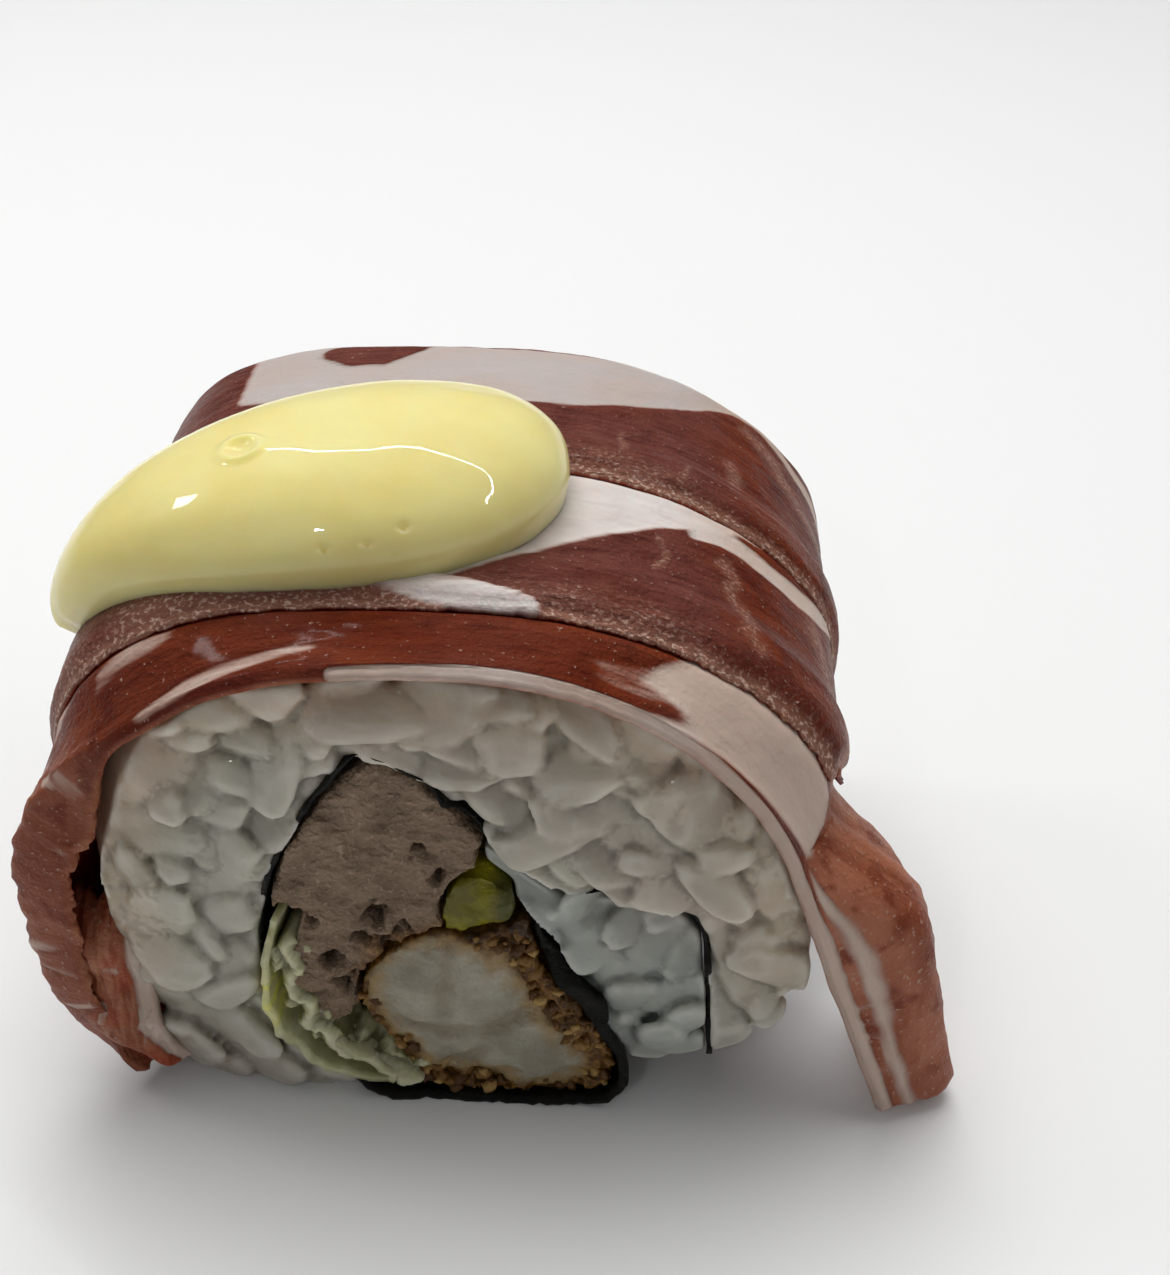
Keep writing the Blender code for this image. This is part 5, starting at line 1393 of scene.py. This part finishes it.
# Painted shade: the fat of the back slice, and less of the front one, is dimmed as if less lit.
fat_colour = blend_colours(tree, mark_of(tree, "painted_fat_shade"), fat_colour, shade(185, 174, 170))
warm_fat = sum_of(tree, mark_of(tree, "tone"), 0.6, "MULTIPLY")
fat_colour = blend_colours(tree, warm_fat, fat_colour, shade(190, 156, 130))
veil = ramp(tree, fat_share, 0.24, 0.6, lean, shade(156, 114, 100))
colour = ramp(tree, fat_share, 0.3, 0.85, veil, fat_colour)
tree.links.new(between(tree, grains, -0.6, 1.7), shader.inputs["Roughness"])
not_fat = sum_of(tree, 1.0, sum_of(tree, mark_of(tree, "fat"), 0.85, "MULTIPLY"), "SUBTRACT")
weave = sum_of(tree, sum_of(tree, fibres, sum_of(tree, grains, strands)), not_fat, "MULTIPLY")
cover(tree, shader, colour, sum_of(tree, weave, sum_of(tree, patches, 1.2, "MULTIPLY")), 0.00024)

# The last number of each is the painted shade on its fat.
for name, fat_of, redness, painted_fat_shade in (
        ("ham_front", fat_of_front, 0.85, 0.3), ("ham_middle", fat_of_middle, 0.08, 0.0),
        ("ham_back", fat_of_back, 0.12, 0.9)):
    make_ham(name, fat_of, redness, painted_fat_shade)


# The fold: a loose lap of the front slice, turned in at the left between ham and rice.
# It shows its inner side, with a rim of fat against the rice and a ragged upper end.
FOLD_DEPTH = -16.6
row = int((FOLD_DEPTH - BED_DEPTHS[0]) / BED_STEP)
left = BED_REACHES < -12.0
heights = np.linspace(2.2, 17.4, 60)
ham_x = np.interp(heights, BED[row, left, 1], BED[row, left, 0])
turns = np.radians(np.arange(212.0, 140.0, -1.0))
rice_line = np.array([(ARCH_X + rice_reach(turn, FOLD_DEPTH) * math.cos(turn),
                       ARCH_Z + rice_reach(turn, FOLD_DEPTH) * math.sin(turn)) for turn in turns])
rice_x = np.interp(heights, rice_line[:, 1], rice_line[:, 0])
share = np.linspace(0.0, 1.0, 26)[None, :]
ragged = rough_at(share * 4.0, 0.0, 0.0, 80.0, 2)
top = 15.4 + 2.4 * share * (1.0 - share) + 1.6 * ragged
climb = (heights - heights[0])[:, None] / (heights[-1] - heights[0])
z = heights[0] + (top - heights[0]) * climb
x_from = np.maximum(ham_x + 0.4, rice_x - 4.4)[:, None]
x = x_from * (1.0 - share) + (rice_x[:, None] + 0.4) * share
y = -16.7 - 0.9 * np.sin(math.pi * share) + 0.3 * np.sin(0.8 * z) + 2.6 * climb ** 8
places = np.stack([x, y, z], axis=-1)
bumps = 0.22 * rough(places, 1.4, 81.0, 2)
outer, inner = places.copy(), places.copy()
outer[:, :, 1] += bumps
inner[:, :, 1] += 0.75 + 0.5 * bumps
fat = 0.85 * eased((share - 0.74) / 0.12) * np.ones_like(z)
fat += 0.5 * eased(rough(places, 1.0, 82.0) * 4.0 - 1.2)
tone = np.clip(0.9 + 0.5 * rough(places, 2.4, 83.0), 0.0, 1.0)
none = np.zeros_like(z)
# The fold shows its inner side in the painted red glow of the ham's inner skin.
fold = close_sheet("ham_front_fold", outer, inner, {
    "fat": (fat, fat), "tone": (tone, tone), "inner_side": (none + 1.0, none + 1.0),
    "flap": (none, none), "frost_and_painted_light": (none, none), "painted_fat_shade": (none, none)})
lay_along(fold, np.concatenate([np.stack([z, x], axis=-1).reshape(-1, 2)] * 2))
dress(fold, "ham_front", ham_finish)


# The mayonnaise: one spoonful, laid across the top and drawn down over the left shoulder.
# It is thick, pale yellow and very glossy, with a rounded side, a burst bubble and small pits.
MAYO_LEFT = -24.5
MAYO_RIGHT = 6.0
MAYO_TILT = 0.18
MAYO_TAPER = 0.42
MAYO_MIDDLE_Y = -3.9
MAYO_HALF_WIDTH = 7.3
MAYO_HEIGHT = 4.1
MAYO_RIM = 2.9
MAYO_SIDE_BULGE = 0.16
MAYO_BUBBLE = (-11.2, -4.6)
MAYO_PITS = ((-2.4, -9.3, 0.17), (-6.6, -10.6, 0.14), (-4.3, -10.2, 0.12), (-2.9, -10.2, 0.12))
MAYO_PIT_DEPTH = 0.45
mayo_finish, tree, shader = start_finish(
    "mayonnaise", shade(246, 236, 162), 0.3, Subsurface_Weight=0.7,
    Subsurface_Radius=(1.0, 0.78, 0.4), Subsurface_Scale=0.0028, Coat_Weight=0.8, Coat_Roughness=0.02,
    Specular_IOR_Level=0.12)
patches, grains = mottled(tree, 140.0, 1300.0)
colour = ramp(tree, patches, 0.3, 0.7, shade(242, 226, 145), shade(248, 235, 163))
cover(tree, shader, colour, grains, 0.00002)

rings, turns = 78, 300
grow = np.sin(0.5 * np.pi * np.linspace(0.0, 1.0, rings + 1)[1:])[:, None]
angle = (2.0 * np.pi * np.arange(turns) / turns)[None, :]
across = grow * np.cos(angle)
middle, half = 0.5 * (MAYO_LEFT + MAYO_RIGHT), 0.5 * (MAYO_RIGHT - MAYO_LEFT)


def top_of_ham(depth):
    """How far the ham's upper skin stands off its bed at each depth."""
    lift = np.zeros_like(depth)
    for name in HAM_ORDER:
        over = (depth >= FRONT_EDGES[name] - 0.6) & (depth <= REAR_EDGES[name] + 0.6)
        lift = np.where(over, np.maximum(lift, lap_lift(name, depth) + HAM_THICKNESS + HAM_REST), lift)
    return lift


def mayo_skins(across, share, around):
    """Lower and upper skin at places across and along, -1 to 1, and a share from the middle."""
    taper = 1.0 + MAYO_TAPER * across
    reach = middle + half * across
    wander = 0.16 * rough_at(across * 3.0, around * 3.0, 0.0, 62.0, 2) * share ** 2
    reach = reach + wander
    depth = MAYO_MIDDLE_Y + MAYO_TILT * half * across + MAYO_HALF_WIDTH * taper * around + wander
    place = on_bed(reach, depth)
    out = out_of_bed(reach, depth) + out_of_bed(reach - 5.0, depth) + out_of_bed(reach + 5.0, depth)
    out /= np.linalg.norm(out, axis=-1, keepdims=True)
    rest = np.mean([top_of_ham(depth + step) for step in np.linspace(-3.0, 3.0, 13)], axis=0)
    swell = MAYO_HEIGHT * (1.0 + 0.6 * MAYO_TAPER * across) * (1.0 - share ** 2.6) ** 0.56
    ripple = 0.16 * rough_at(reach / 7.0, depth / 4.0, 0.0, 60.0) * (1.0 - share ** 4)
    ripple += 0.045 * rough_at(reach / 2.4, depth / 1.5, 0.0, 61.0)
    bubble_far = np.hypot(reach - MAYO_BUBBLE[0], depth - MAYO_BUBBLE[1])
    bubble = 0.26 * np.exp(-((bubble_far - 0.9) / 0.26) ** 2) - 0.10 * np.exp(-(bubble_far / 0.6) ** 2)
    pits = np.zeros_like(reach)
    for x, y, size in MAYO_PITS:
        pits = np.maximum(pits, np.exp(-(np.hypot(reach - x, depth - y) / size) ** 2))
    lower = place + out * (rest - 0.15)[..., None]
    upper = place + out * (MAYO_RIM + swell + ripple + bubble - MAYO_PIT_DEPTH * pits)[..., None]
    return lower, upper


lower, upper = mayo_skins(across, np.repeat(grow, turns, axis=1), grow * np.sin(angle))
tip_lower, tip_upper = mayo_skins(np.zeros((1, 1)), np.zeros((1, 1)), np.zeros((1, 1)))
rim_out = upper[-1] - upper[-2]
rim_out /= np.linalg.norm(rim_out, axis=-1, keepdims=True)
sides = []
for share in (0.2, 0.4, 0.6, 0.8):
    level = upper[-1] * (1.0 - share) + lower[-1] * share
    sides.append(level + rim_out * MAYO_SIDE_BULGE * math.sin(math.pi * share ** 1.6))
layers = [tip_upper.reshape(-1, 3), upper.reshape(-1, 3)] + sides
layers += [lower[::-1].reshape(-1, 3), tip_lower.reshape(-1, 3)]
points = np.concatenate(layers)
count = 2 * rings + len(sides)
faces = []
for turn in range(turns):
    after = (turn + 1) % turns
    faces.append((0, 1 + turn, 1 + after))
    for ring in range(count - 1):
        a, b = 1 + ring * turns + turn, 1 + ring * turns + after
        faces.append((a, a + turns, b + turns, b))
    faces.append((len(points) - 1, 1 + (count - 1) * turns + after, 1 + (count - 1) * turns + turn))
mayonnaise = make_piece("mayonnaise_spoonful", points, faces)
mayonnaise.data.materials.append(mayo_finish)
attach(mayonnaise, "root")
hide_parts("mayonnaise")


# The table and the light: a plain pale board, a soft sun and a broad lamp that no gloss
# mirrors, a thin tube overhead that draws the bright line on the mayonnaise, and two small
# lamps for its bright spots.
WORLD_LIGHT = 0.15
WORLD_SEEN_MORE = 0.27
floor_finish, tree, shader = start_finish("pale_board", shade(244, 244, 243), 0.8)
patches, grains = mottled(tree, 3.0, 60.0)
colour = blend_colours(tree, patches, shade(243, 243, 242), shade(247, 247, 246))
tree.links.new(colour, shader.inputs["Base Color"])
corners = [(-3000, -3000, 0), (3000, -3000, 0), (3000, 3000, 0), (-3000, 3000, 0)]
board = make_piece("board", corners, [(0, 1, 2, 3)])
board.location.z = -0.00002
board.data.materials.append(floor_finish)


def lamp(name, place, aim, size, power):
    """An area lamp: its place and aim in millimetres, its size in metres."""
    light = bpy.data.lights.new(name, "AREA")
    light.shape = "RECTANGLE"
    light.size, light.size_y = size
    light.energy = power
    holder = stand(name, light)
    holder.location = Vector(place) * MM
    holder.rotation_euler = (Vector(place) - Vector(aim)).to_track_quat("Z", "Y").to_euler()
    return holder


sky = bpy.data.lights.new("soft_key", "SUN")
sky.energy = 1.2
sky.angle = math.radians(50.0)
sky_holder = stand("soft_key", sky)
sky_holder.rotation_euler = Vector((-0.06, 0.42, 1.0)).to_track_quat("Z", "Y").to_euler()
sky_holder.visible_glossy = False
soft_top = lamp("soft_top", (-60.0, 150.0, 380.0), (0.0, 0.0, 20.0), (0.36, 0.30), 0.55)
soft_top.visible_glossy = False
lamp("tube", (70.0, 95.0, 395.0), (0.0, 0.0, 30.0), (0.85, 0.007), 0.55)
lamp("front_spark", (-70.0, -240.0, 250.0), (0.0, -15.0, 22.0), (0.014, 0.012), 0.04)
lamp("window", (-260.0, 60.0, 300.0), (-20.0, 0.0, 35.0), (0.06, 0.035), 0.11)
world = bpy.data.worlds.new("room")
world.use_nodes = True
tree = world.node_tree
tree.nodes["Background"].inputs["Color"].default_value = (0.95, 0.97, 1.0, 1.0)
seen = put(tree, "ShaderNodeLightPath").outputs["Is Camera Ray"]
strength = sum_of(tree, sum_of(tree, seen, WORLD_SEEN_MORE, "MULTIPLY"), WORLD_LIGHT)
tree.links.new(strength, tree.nodes["Background"].inputs["Strength"])
bpy.context.scene.world = world
bpy.context.scene.view_settings.view_transform = "Standard"

# The camera stands where the photo was taken from: 37.3 degrees down, 2.7 to the left.
camera_data = bpy.data.cameras.new("view")
camera_data.sensor_width = 36.0
camera_data.lens = 46.59
camera_data.clip_start = 0.001
camera = stand("view", camera_data)
camera.location = (0.0088, -0.0868, 0.0924)
camera.rotation_euler = (math.radians(90.0 - 37.3), 0.0, math.radians(2.7))
bpy.context.scene.camera = camera
